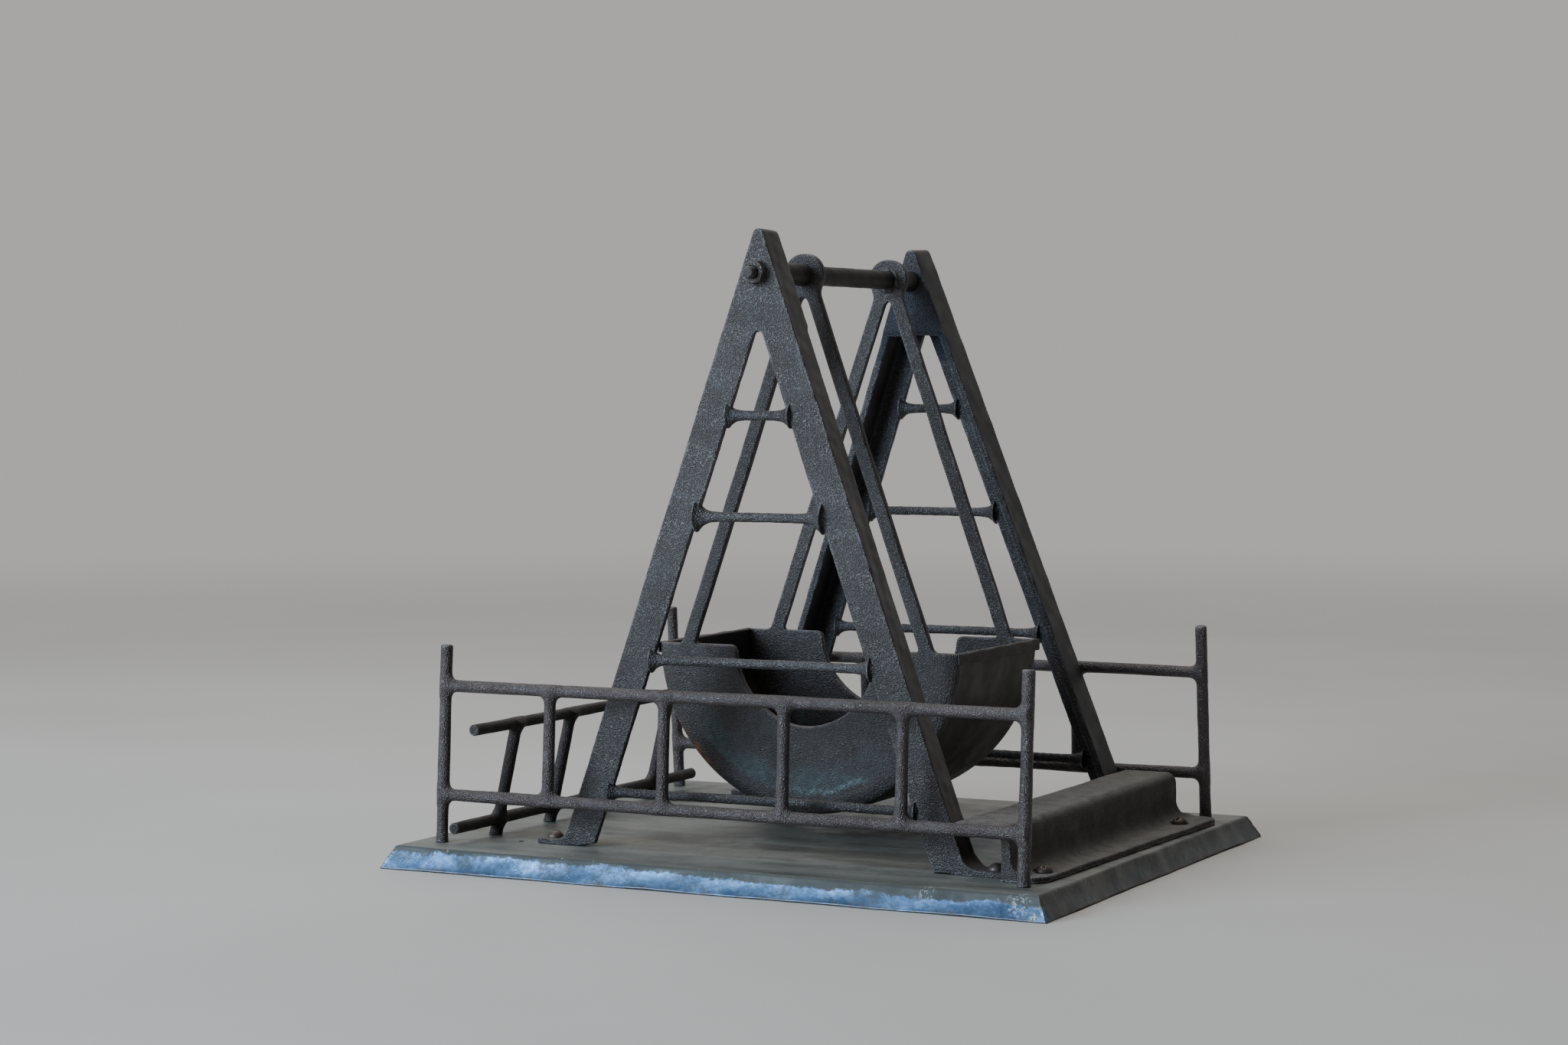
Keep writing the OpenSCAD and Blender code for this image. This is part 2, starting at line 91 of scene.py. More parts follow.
# ------------------------------------------------------------------ distance fields
def smin(a, b, k):
    h = np.clip(0.5 + 0.5 * (b - a) / k, 0, 1)
    return b + (a - b) * h - k * h * (1 - h)


def smax(a, b, k):
    h = np.clip(0.5 - 0.5 * (b - a) / k, 0, 1)
    return b + (a - b) * h + k * h * (1 - h)


def wob(x, y, z, wl, seed, n=5):
    """Smooth unevenness, about -1 to 1, from a few plane waves of wavelength wl and up."""
    r = np.random.default_rng(seed)
    out = 0
    for _ in range(n):
        d = r.normal(size=3)
        d = d / np.linalg.norm(d) * (2 * math.pi / (wl * r.uniform(0.8, 1.8)))
        out = out + np.sin(x * d[0] + y * d[1] + z * d[2] + r.uniform(0, 6.28))
    return out * (1.0 / n ** 0.5) * 0.8


def bar(x, y, z, a, b, r, end=0.8):
    """A round bar from a to b with flat, slightly rounded ends. r may be a function of the distance along it."""
    a, b = np.array(a, float), np.array(b, float)
    L = float(np.linalg.norm(b - a))
    d = (b - a) / L
    px, py, pz = x - a[0], y - a[1], z - a[2]
    t = px * d[0] + py * d[1] + pz * d[2]
    q = np.sqrt(np.maximum(px * px + py * py + pz * pz - t * t, 0))
    rad = r(t, L) if callable(r) else r
    return smax(q - rad, np.abs(t - L / 2) - L / 2, end)


def blob(x, y, z, c, r):
    """An ellipsoid, near enough as a distance."""
    r = np.array(r, float) * np.ones(3)
    qx, qy, qz = (x - c[0]) / r[0], (y - c[1]) / r[1], (z - c[2]) / r[2]
    k = np.sqrt(qx * qx + qy * qy + qz * qz) + 1e-6
    return (k - 1) * float(r.min())


def rbox(x, y, z, lo, hi, r):
    """A box with its edges rounded."""
    c = [(lo[i] + hi[i]) / 2 for i in range(3)]
    h = [(hi[i] - lo[i]) / 2 - r for i in range(3)]
    qx, qy, qz = np.abs(x - c[0]) - h[0], np.abs(y - c[1]) - h[1], np.abs(z - c[2]) - h[2]
    out = np.sqrt(np.maximum(qx, 0) ** 2 + np.maximum(qy, 0) ** 2 + np.maximum(qz, 0) ** 2)
    return out + np.minimum(np.maximum(np.maximum(qx, qy), qz), 0) - r


def nets(f, lo, hi, h):
    """Surface nets: (vertices, quads, normals) of the surface where f is 0."""
    n = [int(math.ceil((hi[i] - lo[i]) / h)) + 1 for i in range(3)]
    ax = [(lo[i] + h * np.arange(n[i])).astype(f32) for i in range(3)]
    F = np.empty(n, f32)
    step = max(1, int(3e6 / (n[1] * n[2])))
    for i in range(0, n[0], step):
        F[i : i + step] = f(ax[0][i : i + step, None, None], ax[1][None, :, None], ax[2][None, None, :])
    S = F < 0
    m = [k - 1 for k in n]
    c = np.zeros(m, np.int8)
    for a in (0, 1):
        for b in (0, 1):
            for d in (0, 1):
                c += S[a : a + m[0], b : b + m[1], d : d + m[2]]
    cells = np.argwhere((c > 0) & (c < 8))
    idx = -np.ones(m, np.int32)
    idx[tuple(cells.T)] = np.arange(len(cells))
    pos, cnt = np.zeros((len(cells), 3)), np.zeros(len(cells))
    corners = [(a, b, d) for a in (0, 1) for b in (0, 1) for d in (0, 1)]
    vals = {q: F[cells[:, 0] + q[0], cells[:, 1] + q[1], cells[:, 2] + q[2]] for q in corners}
    for q in corners:
        for k in range(3):
            if q[k]:
                continue
            p = list(q)
            p[k] = 1
            p = tuple(p)
            fa, fb = vals[q], vals[p]
            hit = (fa < 0) != (fb < 0)
            t = fa[hit] / (fa[hit] - fb[hit])
            P = np.tile(np.array(q, float), (hit.sum(), 1))
            P[:, k] = t
            pos[hit] += P
            cnt[hit] += 1
    V = (cells + pos / cnt[:, None]) * h + np.array(lo)
    quads = []
    for k in range(3):
        u, v = (k + 1) % 3, (k + 2) % 3
        lo_, hi_ = [slice(None)] * 3, [slice(None)] * 3
        lo_[k], hi_[k] = slice(0, -1), slice(1, None)
        change = S[tuple(lo_)] != S[tuple(hi_)]
        e = np.argwhere(change)
        e = e[(e[:, u] > 0) & (e[:, v] > 0) & (e[:, u] < m[u]) & (e[:, v] < m[v])]
        inside = S[tuple(e.T)]
        du, dv = np.zeros(3, int), np.zeros(3, int)
        du[u], dv[v] = 1, 1
        g = lambda w: idx[tuple(w.T)]
        Q = np.stack([g(e - du - dv), g(e - dv), g(e), g(e - du)], 1)
        Q[~inside] = Q[~inside][:, ::-1]
        quads.append(Q)
    quads = np.concatenate(quads)

    def grad(P, e=0.05 * h + 0.01):
        x, y, z = P.T
        return np.stack([f(x + e, y, z) - f(x - e, y, z), f(x, y + e, z) - f(x, y - e, z), f(x, y, z + e) - f(x, y, z - e)], 1) / (2 * e)

    for _ in range(2):
        G = grad(V)
        L = np.maximum((G * G).sum(1), 0.2)
        s = np.clip(f(*V.T) / L, -0.5 * h, 0.5 * h)
        V = V - G * s[:, None]
    G = grad(V, 0.25 * h)
    N = G / np.maximum(np.linalg.norm(G, axis=1), 1e-9)[:, None]
    return V, quads, N


def mesh_from(name, V, F, N=None, mat=None, smooth=True):
    """An object from vertices in millimetres and quads (or a list of polygons)."""
    me = bpy.data.meshes.new(name)
    V = np.asarray(V, float) * 0.001
    if isinstance(F, np.ndarray):
        me.vertices.add(len(V))
        me.vertices.foreach_set("co", V.astype(f32).ravel())
        me.loops.add(F.size)
        me.loops.foreach_set("vertex_index", F.astype(np.int32).ravel())
        me.polygons.add(len(F))
        me.polygons.foreach_set("loop_start", np.arange(0, F.size, F.shape[1], dtype=np.int32))
        me.polygons.foreach_set("use_smooth", np.full(len(F), smooth, bool))
        me.update(calc_edges=True)
        me.validate()
    else:
        me.from_pydata([tuple(v) for v in V], [], F)
        me.polygons.foreach_set("use_smooth", np.full(len(F), smooth, bool))
        me.update()
    if N is not None and len(N) == len(me.vertices):
        me.normals_split_custom_set_from_vertices(N.astype(f32))
    o = bpy.data.objects.new(name, me)
    bpy.context.scene.collection.objects.link(o)
    if mat:
        me.materials.append(mat)
    return o


def join_parts(parts):
    """Several (V, quads, N) as one."""
    V, F, N, n = [], [], [], 0
    for v, q, m in parts:
        V.append(v), F.append(q + n), N.append(m)
        n += len(v)
    return np.concatenate(V), np.concatenate(F), np.concatenate(N)


def turn(P, M, at):
    """Rows of P turned by the 3x3 M about the point at."""
    return (P - np.array(at)) @ np.array(M).T + np.array(at)


def rot_x(a):
    c, s = math.cos(a), math.sin(a)
    return np.array([[1, 0, 0], [0, c, -s], [0, s, c]])


def rot_y(a):
    c, s = math.cos(a), math.sin(a)
    return np.array([[c, 0, s], [0, 1, 0], [-s, 0, c]])


def piece(name, VFN, mat, body, nodes):
    o = mesh_from(name, *VFN, mat=mat)
    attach(o, body)
    if nodes:
        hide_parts(*nodes)
    return o


def line(x, z, a, b, s):
    """Signed distance from the rising line a-b in X-Z, positive on its +X side when s is 1."""
    dx, dz = b[0] - a[0], b[1] - a[1]
    return ((x - a[0]) * dz - (z - a[1]) * dx) * (s / math.hypot(dx, dz))


def uround(a, b, r):
    """Union of two half spaces with a true fillet of radius r."""
    return np.maximum(r, np.minimum(a, b)) - np.sqrt(np.maximum(r - a, 0) ** 2 + np.maximum(r - b, 0) ** 2)


def iround(a, b, r):
    """Intersection of two half spaces with a round edge of radius r."""
    return np.minimum(-r, np.maximum(a, b)) + np.sqrt(np.maximum(r + a, 0) ** 2 + np.maximum(r + b, 0) ** 2)


def step01(t):
    t = np.clip(t, 0, 1)
    return t * t * (3 - 2 * t)


# ------------------------------------------------------------------ A-frames and rungs
def to_plane(i, x, y, z):
    """World to the leaning frame: X from the axis, depth behind the outer face, height above the tray."""
    a = LEAN[i]
    ly = (y + TOP[0]) if i == 0 else (TOP[1] - y)
    lz = z - TRAY_H - AXH
    return x - AX, ly * math.cos(a) - lz * math.sin(a), ly * math.sin(a) + lz * math.cos(a) + AXH


def opening(i, x, z):
    h, w = OPEN_H[i], SPREAD - LEGW[i]
    top = (SHIFT * (1 - h / APEX[i]), h)
    r = line(x, z, (SHIFT + w, 0), top, 1)
    l = line(x, z, (SHIFT - w, 0), top, -1)
    return smax(smax(r, l, 1.5), z - (h - 5.0), 2.0)


def a_frame(i):
    H, fd, bd = APEX[i], FLANGE_D[i], BLOCK_D[i]

    def f(x, y, z):
        lx, ly, lz = to_plane(i, x, y, z)
        slant = np.maximum(line(lx, lz, (SHIFT + SPREAD, 0), (0, H), 1), line(lx, lz, (SHIFT - SPREAD, 0), (0, H), -1))
        uneven = 0.14 * wob(lx, ly, lz, 26, 3 + i) + 0.08 * wob(lx, ly, lz, 6, 13 + i)
        slant = slant + uneven
        out2 = smax(slant, lz - (H - 6.0), 2.4)
        op = opening(i, lx, lz) + uneven
        behind = smin(smin(ly - WEB, -(slant + FLANGE_T), 3.2), BLOCK_Z - lz + 0.5 * wob(lx, ly, 0 * lz, 11, 43 + i), 0.9)
        depth = ly - (fd + (bd - fd) * step01((lz - BLOCK_Z) / 3.0))
        d = smax(smax(smax(behind, depth, 0.9), out2, 0.8), -op, 0.8)
        d = smax(d, -ly + 0.08 * wob(lx, lz, ly, 18, 23 + i), 0.9)
        # the left leg's foot is cut a little askew
        wx, wz = x - AX, z - TRAY_H
        if i == 0:
            d = np.where(wx < 0, smax(d, 0.16 * (wx + 101.5) - wz, 0.7), d)
        # foot tabs, blended into the legs
        yo = (y + FOOT[0] + 0.6) if i == 0 else (FOOT[1] + 0.6 - y)
        for s, ln, k in ((-1, TAB_LEN[0], 5.0), (1, TAB_LEN[1], 7.5)):
            u = s * (wx - (SHIFT + s * SPREAD))
            cx, hx = (ln - 3) / 2, (ln + 3) / 2 - 4
            cy, hy = TAB_D / 2, TAB_D / 2 - 4
            qx, qy = np.abs(u - cx) - hx, np.abs(yo - cy) - hy
            d2 = np.sqrt(np.maximum(qx, 0) ** 2 + np.maximum(qy, 0) ** 2) + np.minimum(np.maximum(qx, qy), 0) - 4
            tab = smax(d2 + 0.15 * wob(u, yo, wz, 7, 31 + i), wz - TAB_T - 0.12 * wob(u, yo, wz, 8, 41 + i), 1.2)
            d = smin(d, tab, k)
        d = smax(d, -yo, 0.8)
        q = np.sqrt(wx * wx + (z - AXZ) ** 2)
        d = smax(d, 3.06 - q, 0.5)
        return np.maximum(d, 0.03 - wz)

    y0 = -FOOT[0] - 2 if i == 0 else TOP[1] - BLOCK_D[1] - 3
    y1 = -TOP[0] + BLOCK_D[0] + 3 if i == 0 else FOOT[1] + 2
    return nets(f, (AX - 134, y0, TRAY_H - 1.3), (AX + 146, y1, TRAY_H + H - 2), 0.9)


def rungs(i, zs, seed):
    """Bars across the opening, with a lump of weld at each end."""
    parts = []
    a = LEAN[i]
    r = np.random.default_rng(seed)
    for n, zr in enumerate(zs):
        half = (OPEN_H[i] - zr) * SPREAD / APEX[i]
        cx = SHIFT * (1 - zr / APEX[i])
        big = 1.0 + (0.35 if (i == 0 and n == 1) else 0.0) + 0.12 * r.uniform(-1, 1, 2)[0]
        jit = r.uniform(-0.5, 0.5, (4, 3))
        ends = [(cx - half, -1, jit[0]), (cx + half, 1, jit[1])]

        def f(x, y, z, zr=zr, ends=ends, big=big, half=half, cx=cx, n=n):
            lx, ly, lz = to_plane(i, x, y, z)
            qy, qz = ly - 2.0 - 0.12 * wob(lx, 0 * lx, 0 * lx, 40, 60 + n), lz - zr - 0.25 * wob(lx, 0 * lx, 0 * lx, 60, 70 + n)
            q = np.sqrt(qy * qy + qz * qz)
            u = half - np.abs(lx - cx)
            flare = 3.0 * big * np.exp(-np.maximum(u + 0.6, 0) / (2.5 * big))
            # the flare runs further up and down the leg than across it
            qf = np.sqrt(qy * qy + (qz * 0.78) ** 2)
            d = smax(np.minimum(q - 1.9, qf - 1.9 - flare) - 0.08 * wob(lx, ly, lz, 3.5, 80 + n), -u - 1.2, 0.6)
            for ex, s, j in ends:
                # a lump low on one side and a smaller one above it, as the weld ran
                b = blob(lx, ly, lz, (ex + s * (0.9 + j[0]), 1.6 + 0.5 * j[1], zr - 0.9 + j[2]), (2.6 * big, 2.2, 2.6 * big))
                c = blob(lx, ly, lz, (ex + s * (1.6 - j[1]), 1.9 - 0.5 * j[0], zr + 1.9 + j[1]), (2.2 * big, 2.0, 2.4 * big))
                d = smin(d, smin(b, c, 1.6) + 0.25 * wob(lx, ly, lz, 2.6, 90 + n), 2.2)
            if i == 1 and n == 3:
                # a spike of weld on the lowest rung's right end
                d = smin(d, bar(lx, ly, lz, (ends[1][0] - 2.5, 1.4, zr + 0.6), (ends[1][0] - 4.6, -1.0, zr + 2.8), 0.75, 0.6), 0.9)
            return d

        # the band that the rung fills, in world axes
        wy = (zr - AXH) * math.sin(a)
        base = TOP[i] - wy
        y0, y1 = (-base - 5.5, -base + 10.5) if i == 0 else (base - 10.5, base + 5.5)
        zc = TRAY_H + AXH + (zr - AXH) * math.cos(a)
        parts.append(nets(f, (AX + cx - half - 7, y0, zc - 9), (AX + cx + half + 7, y1, zc + 9), 0.55))
    return join_parts(parts)


# ------------------------------------------------------------------ gondola
SA = math.atan((STRAP_SPREAD - STRAP_TOP) / (AXH - RIM_H))


def hanger(front):
    y_at = HF if front else HR
    s = 1 if front else -1

    def f(x, y, z):
        lx, ly, lz = x - AX, s * (y - y_at), z - AXZ
        q = np.sqrt(lx * lx + lz * lz)
        eye = q - EYE_R + 0.12 * wob(lx, lz, 0 * lx, 12, 5)
        straps = 1e3
        for m in (-1, 1):
            u = m * lx
            a = ((u - STRAP_TOP) * math.cos(SA) + lz * math.sin(SA))
            a = np.abs(a + 0.14 * wob(lx, lz, 0 * lx, 30, 6 + m + 3 * s)) - STRAP_W / 2
            t = np.maximum(lz - 2, -(AXH - RIM_H) - 6 - lz)
            straps = smin(straps, smax(a, t, 1.0), 1.5)
        rz = z - RIM_Z
        r = np.sqrt(lx * lx + rz * rz)
        plate = smax(r - TUB_R, rz, 1.2)
        e = 0.5 * wob(lx, rz, 0 * lx, 26, 16 + s)
        cut = np.where(rz < 0, r, np.abs(lx)) - ENTRY_R + e * 0.5
        plate = smax(plate, -cut, 4.2)
        d2 = smin(smin(eye, straps, 3.5), plate, 2.6)
        # the plate's outer edge is turned back in a soft roll
        roll = np.clip((r - (TUB_R - 8.5)) / 8.5, 0, 1) * (rz < 3)
        face = 3.3 * (1 - np.sqrt(np.maximum(1 - roll * roll * 0.985, 0)))
        face = face + 0.10 * wob(lx, lz, ly, 14, 26 + s)
        d = smax(smax(d2, ly - HT, 0.6), face - ly, 1.5)
        # weld round the tube on the inner face, heavier below
        ring = np.sqrt((q - TUBE_D / 2 - 0.4) ** 2 + (ly - HT - 0.1) ** 2)
        heavy = 1.05 + 0.45 * np.clip(-lz / 6, -1, 1) + 0.25 * wob(lx * 1.0, lz, 0 * lx, 3, 36)
        d = smin(d, ring - heavy, 0.8)
        # a thin weld line where the tube shows at the outer face
        ring2 = np.sqrt((q - TUBE_D / 2 + 0.2) ** 2 + (ly - 0.1) ** 2)
        d = smin(d, ring2 - 0.55, 0.5)
        return smax(d, TUBE_D / 2 - 1.4 - q, 0.4)

    y0, y1 = (y_at - 1.2, y_at + HT + 2.6) if front else (y_at - HT - 2.6, y_at + 1.2)
    return nets(f, (AX - TUB_R - 2, y0, RIM_Z - TUB_R - 2), (AX + TUB_R + 2, y1, AXZ + EYE_R + 2), 0.75)


def gondola_shell():
    def f(x, y, z):
        lx, rz = x - AX, z - RIM_Z
        r = np.sqrt(lx * lx + rz * rz) + 0.25 * wob(lx, y * 0.7, rz, 45, 51)
        d = np.abs(r - (TUB_R - TUB_T / 2)) - TUB_T / 2
        return smax(smax(d, rz, 0.6), np.maximum(HF + HT - 0.4 - y, y - (HR - HT + 0.4)), 0.2)

    return nets(f, (AX - TUB_R - 1.5, HF + HT - 1.5, RIM_Z - TUB_R - 1.5), (AX + TUB_R + 1.5, HR - HT + 1.5, RIM_Z + 1.5), 0.95)


def rim_strips():
    def f(x, y, z):
        lx, rz = np.abs(x - AX), z - RIM_Z
        r = np.sqrt(lx * lx + rz * rz)
        d = np.abs(r - (TUB_R + 0.55)) - 0.75 - 0.12 * wob(lx, y, rz, 7, 61)
        top = rz - 0.05 - 0.16 * wob(lx * 0, y, 0 * rz, 16, 63)
        low = -6.0 - rz + 0.35 * wob(0 * lx, y, 0 * rz, 22, 62)
        d = smax(smax(d, top, 0.9), low, 0.9)
        return smax(d, np.maximum(HF + 0.2 - y, y - (HR - 0.2)), 0.8)

    parts = []
    for s in (-1, 1):
        c = AX + s * (TUB_R + 0.4)
        parts.append(nets(f, (c - 3, HF - 0.8, RIM_Z - 7.5), (c + 3, HR + 0.8, RIM_Z + 1.5), 0.5))
    return join_parts(parts)


# ------------------------------------------------------------------ round parts on the axle
def lathe_y(prof, n, x0, z0, dr=None):
    """A closed solid turned about a line along Y. prof is [(y, r)] from one end's middle to the other's."""
    prof = np.array(prof, float)
    th = np.arange(n) * 2 * math.pi / n
    Y = np.repeat(prof[:, 0][:, None], n, 1)
    R = np.repeat(prof[:, 1][:, None], n, 1)
    if dr is not None:
        R = R + dr(Y, np.repeat(th[None, :], len(prof), 0)) * (R > 0.3)
    V = np.stack([x0 + R * np.cos(th), Y, z0 + R * np.sin(th)], 2).reshape(-1, 3)
    k = len(prof)
    i, j = np.meshgrid(np.arange(k - 1), np.arange(n), indexing="ij")
    j2 = (j + 1) % n
    Q = np.stack([i * n + j, (i + 1) * n + j, (i + 1) * n + j2, i * n + j2], 2).reshape(-1, 4)
    F = [tuple(int(v) for v in q) for q in Q]
    F.append(tuple(range(n)))
    F.append(tuple((k - 1) * n + v for v in range(n - 1, -1, -1)))
    return V, F


def ends(y0, y1, r, c, step, extra=()):
    """Profile of a bar with its ends rounded by c."""
    a = [0.12, 0.35, 0.6, 0.85, 1.0]
    p = [(y0, r - c)] + [(y0 + c * (1 - math.cos(t * math.pi / 2)), r - c + c * math.sin(t * math.pi / 2)) for t in a]
    m = max(2, int((y1 - y0 - 2 * c) / step))
    p += [(y0 + c + (y1 - y0 - 2 * c) * q / m, r) for q in range(1, m)]
    p += [(y1 - c * (1 - math.cos(t * math.pi / 2)), r - c + c * math.sin(t * math.pi / 2)) for t in reversed(a)]
    return p + [(y1, r - c)]


def thread(y_a, y_b):
    """Radius change of a screw thread on both ends of the bolt, outside y_a and y_b."""
    def f(Y, T):
        ph = (Y / 1.0 - T / (2 * math.pi)) % 1.0
        tri = np.abs(2 * ph - 1)
        on = step01((y_a - Y) / 1.2) + step01((Y - y_b) / 1.2)
        return -(0.42 * tri + 0.03) * on
    return f


def nut(front):
    """A worn hexagonal nut on the axle."""
    s = -1 if front else 1
    y_seat = s * (TOP[0 if front else 1] + 0.3)

    def f(x, y, z):
        lx, lz, ly = x - AX, z - AXZ, s * (y - y_seat)
        a0 = math.radians(12.0) * (1 if front else -1)
        d = -1e3
        for k in range(6):
            t = a0 + k * math.pi / 3 + math.pi / 6
            w = 0.10 * math.sin(2.3 * k + (0.5 if front else 2.0))
            d = smax(d, lx * math.cos(t) + lz * math.sin(t) - NUT_AF / 2 + abs(w), 1.3)
        q = np.sqrt(lx * lx + lz * lz)
        cham = (q + 1.5 * (ly - NUT_T)) * 0.555 - (NUT_AF / 2 + 0.15) * 0.555
        cham2 = (q - 1.5 * ly) * 0.555 - (NUT_AF / 2 + 0.55) * 0.555
        d = smax(smax(d, cham, 0.7), cham2, 0.5)
        d = smax(d, ly - NUT_T + 0.08 * wob(lx, lz, 0 * lx, 4, 7), 0.7)
        d = smax(d, -ly, 0.3)
        d = d + 0.08 * wob(lx, ly, lz, 5, 8)
        mouth = 3.05 + 0.7 * np.clip((ly - NUT_T + 0.7) / 0.7, 0, 1)
        return smax(d, mouth - q, 0.3)

    y0, y1 = sorted((y_seat - s * 0.6, y_seat + s * (NUT_T + 0.6)))
    return nets(f, (AX - 7.4, y0, AXZ - 7.4), (AX + 7.4, y1, AXZ + 7.4), 0.22)


# ------------------------------------------------------------------ railings and fence
def flare(extra, reach):
    return lambda t, L: BAR_D / 2 + extra * np.exp(-np.maximum(t, 0) / reach)


def railing(foot_y, lean, s, post_h, z_top, z_low, xs, seed):
    a = math.radians(lean) * s

    def f(x, y, z):
        py, pz = y - foot_y, z - TRAY_H
        ly, lz = py * math.cos(a) - pz * math.sin(a), py * math.sin(a) + pz * math.cos(a)
        lx = x
        u = 0.13 * wob(lx, ly, lz, 34, seed) + 0.05 * wob(lx, ly, lz, 8, seed + 1)
        # each long bar bows a little
        sag = 0.35 * wob(lx, 0 * lx, 0 * lx, 150, seed + 2)
        d = bar(lx, ly, lz - sag, (-POST_X, 0, z_top), (POST_X, 0, z_top), BAR_D / 2)
        d = np.minimum(d, bar(lx, ly, lz + 0.6 * sag, (-POST_X, 0, z_low), (POST_X, 0, z_low), BAR_D / 2))
        b = 1e3
        for k, xb in enumerate(xs):
            t = 0.5 * math.sin(3.1 * k + seed)
            b = np.minimum(b, bar(lx, ly, lz, (xb - t, 0, z_low), (xb + t, 0, z_top), BAR_D / 2 - 0.05))
        d = smin(d, b, 4.6)
        p = 1e3
        for sx in (-1, 1):
            p = np.minimum(p, bar(lx, ly, lz, (sx * POST_X, 0, -2), (sx * POST_X, 0, post_h), flare(1.1, 2.6), 1.3))
        d = smin(d, p, 4.6) + u
        return smax(d, 0.05 - pz, 0.5)

    c = foot_y + (post_h * math.sin(a))
    y0, y1 = min(foot_y, c) - 6, max(foot_y, c) + 6
    return nets(f, (-POST_X - 7, y0, TRAY_H - 1.2), (POST_X + 7, y1, TRAY_H + post_h + 2), 0.78)


def side_fence():
    a = math.radians(FENCE_LEAN)

    def f(x, y, z):
        px, pz = x - FENCE_X, z - TRAY_H
        lx, lz = px * math.cos(a) - pz * math.sin(a), px * math.sin(a) + pz * math.cos(a)
        r = BAR_D / 2 - 0.15
        sag = 0.4 * wob(y, 0 * y, 0 * y, 130, 71)
        d = bar(lx, y, lz - sag, (0, -136, FENCE_H), (0, 114, FENCE_H), r, 0.9)
        d = np.minimum(d, bar(lx - 0.5 * sag, y, lz, (0, -138, FENCE_LOW), (0, 118, FENCE_LOW), r, 0.9))
        p = 1e3
        for k, yp in enumerate(FENCE_Y):
            t = 0.5 * math.sin(2.7 * k)
            p = np.minimum(p, bar(lx, y, lz, (0, yp - t, -4), (0, yp + t, FENCE_H), flare(1.7, 2.8), 1.0))
        d = smin(d, p, 4.4) + 0.12 * wob(lx, y, lz, 26, 72) + 0.05 * wob(lx, y, lz, 7, 73)
        return smax(d, 0.05 - pz, 0.5)

    top_x = FENCE_X + FENCE_H * math.sin(a)
    return nets(f, (FENCE_X - 7, -140.5, TRAY_H - 1.2), (top_x + 6, 120.5, TRAY_H + FENCE_H * math.cos(a) + 6), 0.7)


# ------------------------------------------------------------------ sill
def sill():
    # the bottom flange's outer edge runs out a little to the rear
    slope = (SILL_OUT[1] - SILL_OUT[0]) / (SILL_Y1 - SILL_Y0)
    ca = math.cos(math.atan(slope))

    def f(x, y, z):
        lx, lz = x - SILL_X, z - TRAY_H
        u = 0.16 * wob(lx, y, lz, 40, 81) + 0.05 * wob(lx, y, lz, 7, 82)
        r1 = uround(lx - SILL_WEB, lz - SILL_T, 9.0)
        r2 = uround(-lx, SILL_H - SILL_T - lz, 5.0)
        up = iround(lx - SILL_WEB, lz - SILL_H, 6.0)
        up = np.where(lz > SILL_H - 8, up, -50)
        d = smax(r1, r2, 0.6)
        d = np.maximum(d, np.where(lx < 4 * SILL_WEB, up, d))
        d = smax(d, lz - SILL_H, 0.5)
        d = smax(d, -SILL_IN - lx, 1.2)
        # ends: the web and top flange stop before the rear end of the bottom flange
        low = step01((SILL_T + 2.5 - lz) / 2.0)
        d_end = np.maximum(SILL_Y0 - 0.4 * low - y, y - (SILL_Y1 + 7 * low))
        d = smax(d + u, d_end + 0.3 * wob(lx, y * 0, lz, 12, 83), 1.6)
        # plan of the bottom flange with round corners
        xo = (SILL_WEB + SILL_OUT[0] + (y - SILL_Y0) * slope - lx) * ca
        plan = iround(iround(-xo, SILL_Y0 - 1 - y, 11.0), y - (SILL_Y1 + 7), 11.0)
        d = smax(d, plan, 1.1)
        for sx, sy in SCREWS_SILL:
            q = np.sqrt((x - sx) ** 2 + (y - sy) ** 2)
            d = np.maximum(d, np.minimum(HEAD_D / 2 + 0.45 - q, lz - SILL_T + 0.25))
        return np.maximum(d, 0.03 - lz)

    return nets(f, (SILL_X - SILL_IN - 1.5, SILL_Y0 - 3, TRAY_H - 1.1), (SILL_X + SILL_WEB + SILL_OUT[1] + 2.5, SILL_Y1 + 9, TRAY_H + SILL_H + 1.5), 0.85)


# ------------------------------------------------------------------ screws
def screw(x0, y0, z0, ang, length, seed):
    rr = (HEAD_D * HEAD_D / 4 + HEAD_H * HEAD_H) / (2 * HEAD_H)
    a = math.radians(ang)

    def f(x, y, z):
        lx, ly, lz = x - x0, y - y0, z - z0
        q = np.sqrt(lx * lx + ly * ly)
        head = np.sqrt(q * q + (lz - HEAD_H + rr) ** 2) - rr
        head = smax(smax(head, q - HEAD_D / 2 + 0.05, 0.9), -lz, 0.25)
        head = head + 0.07 * wob(lx, ly, lz, 5, seed)
        across = np.abs(-lx * math.sin(a) + ly * math.cos(a) + 0.12 * wob(lx, ly, 0 * lz, 6, seed + 1)) - 0.62
        head = smax(head, -np.maximum(across, HEAD_H - 1.5 - lz), 0.35)
        ph = (lz / 0.8 - np.arctan2(ly, lx) / (2 * math.pi)) % 1.0
        shank = smax(q - 1.95 + 0.28 * np.abs(2 * ph - 1), np.maximum(-length - lz, lz - 0.4), 0.3)
        return np.minimum(head, shank)

    r = HEAD_D / 2 + 0.8
    return nets(f, (x0 - r, y0 - r, z0 - length - 0.5), (x0 + r, y0 + r, z0 + HEAD_H + 0.6), 0.24)


# ------------------------------------------------------------------ tray
HOLE = (-128.6, -108.3, 2.3)


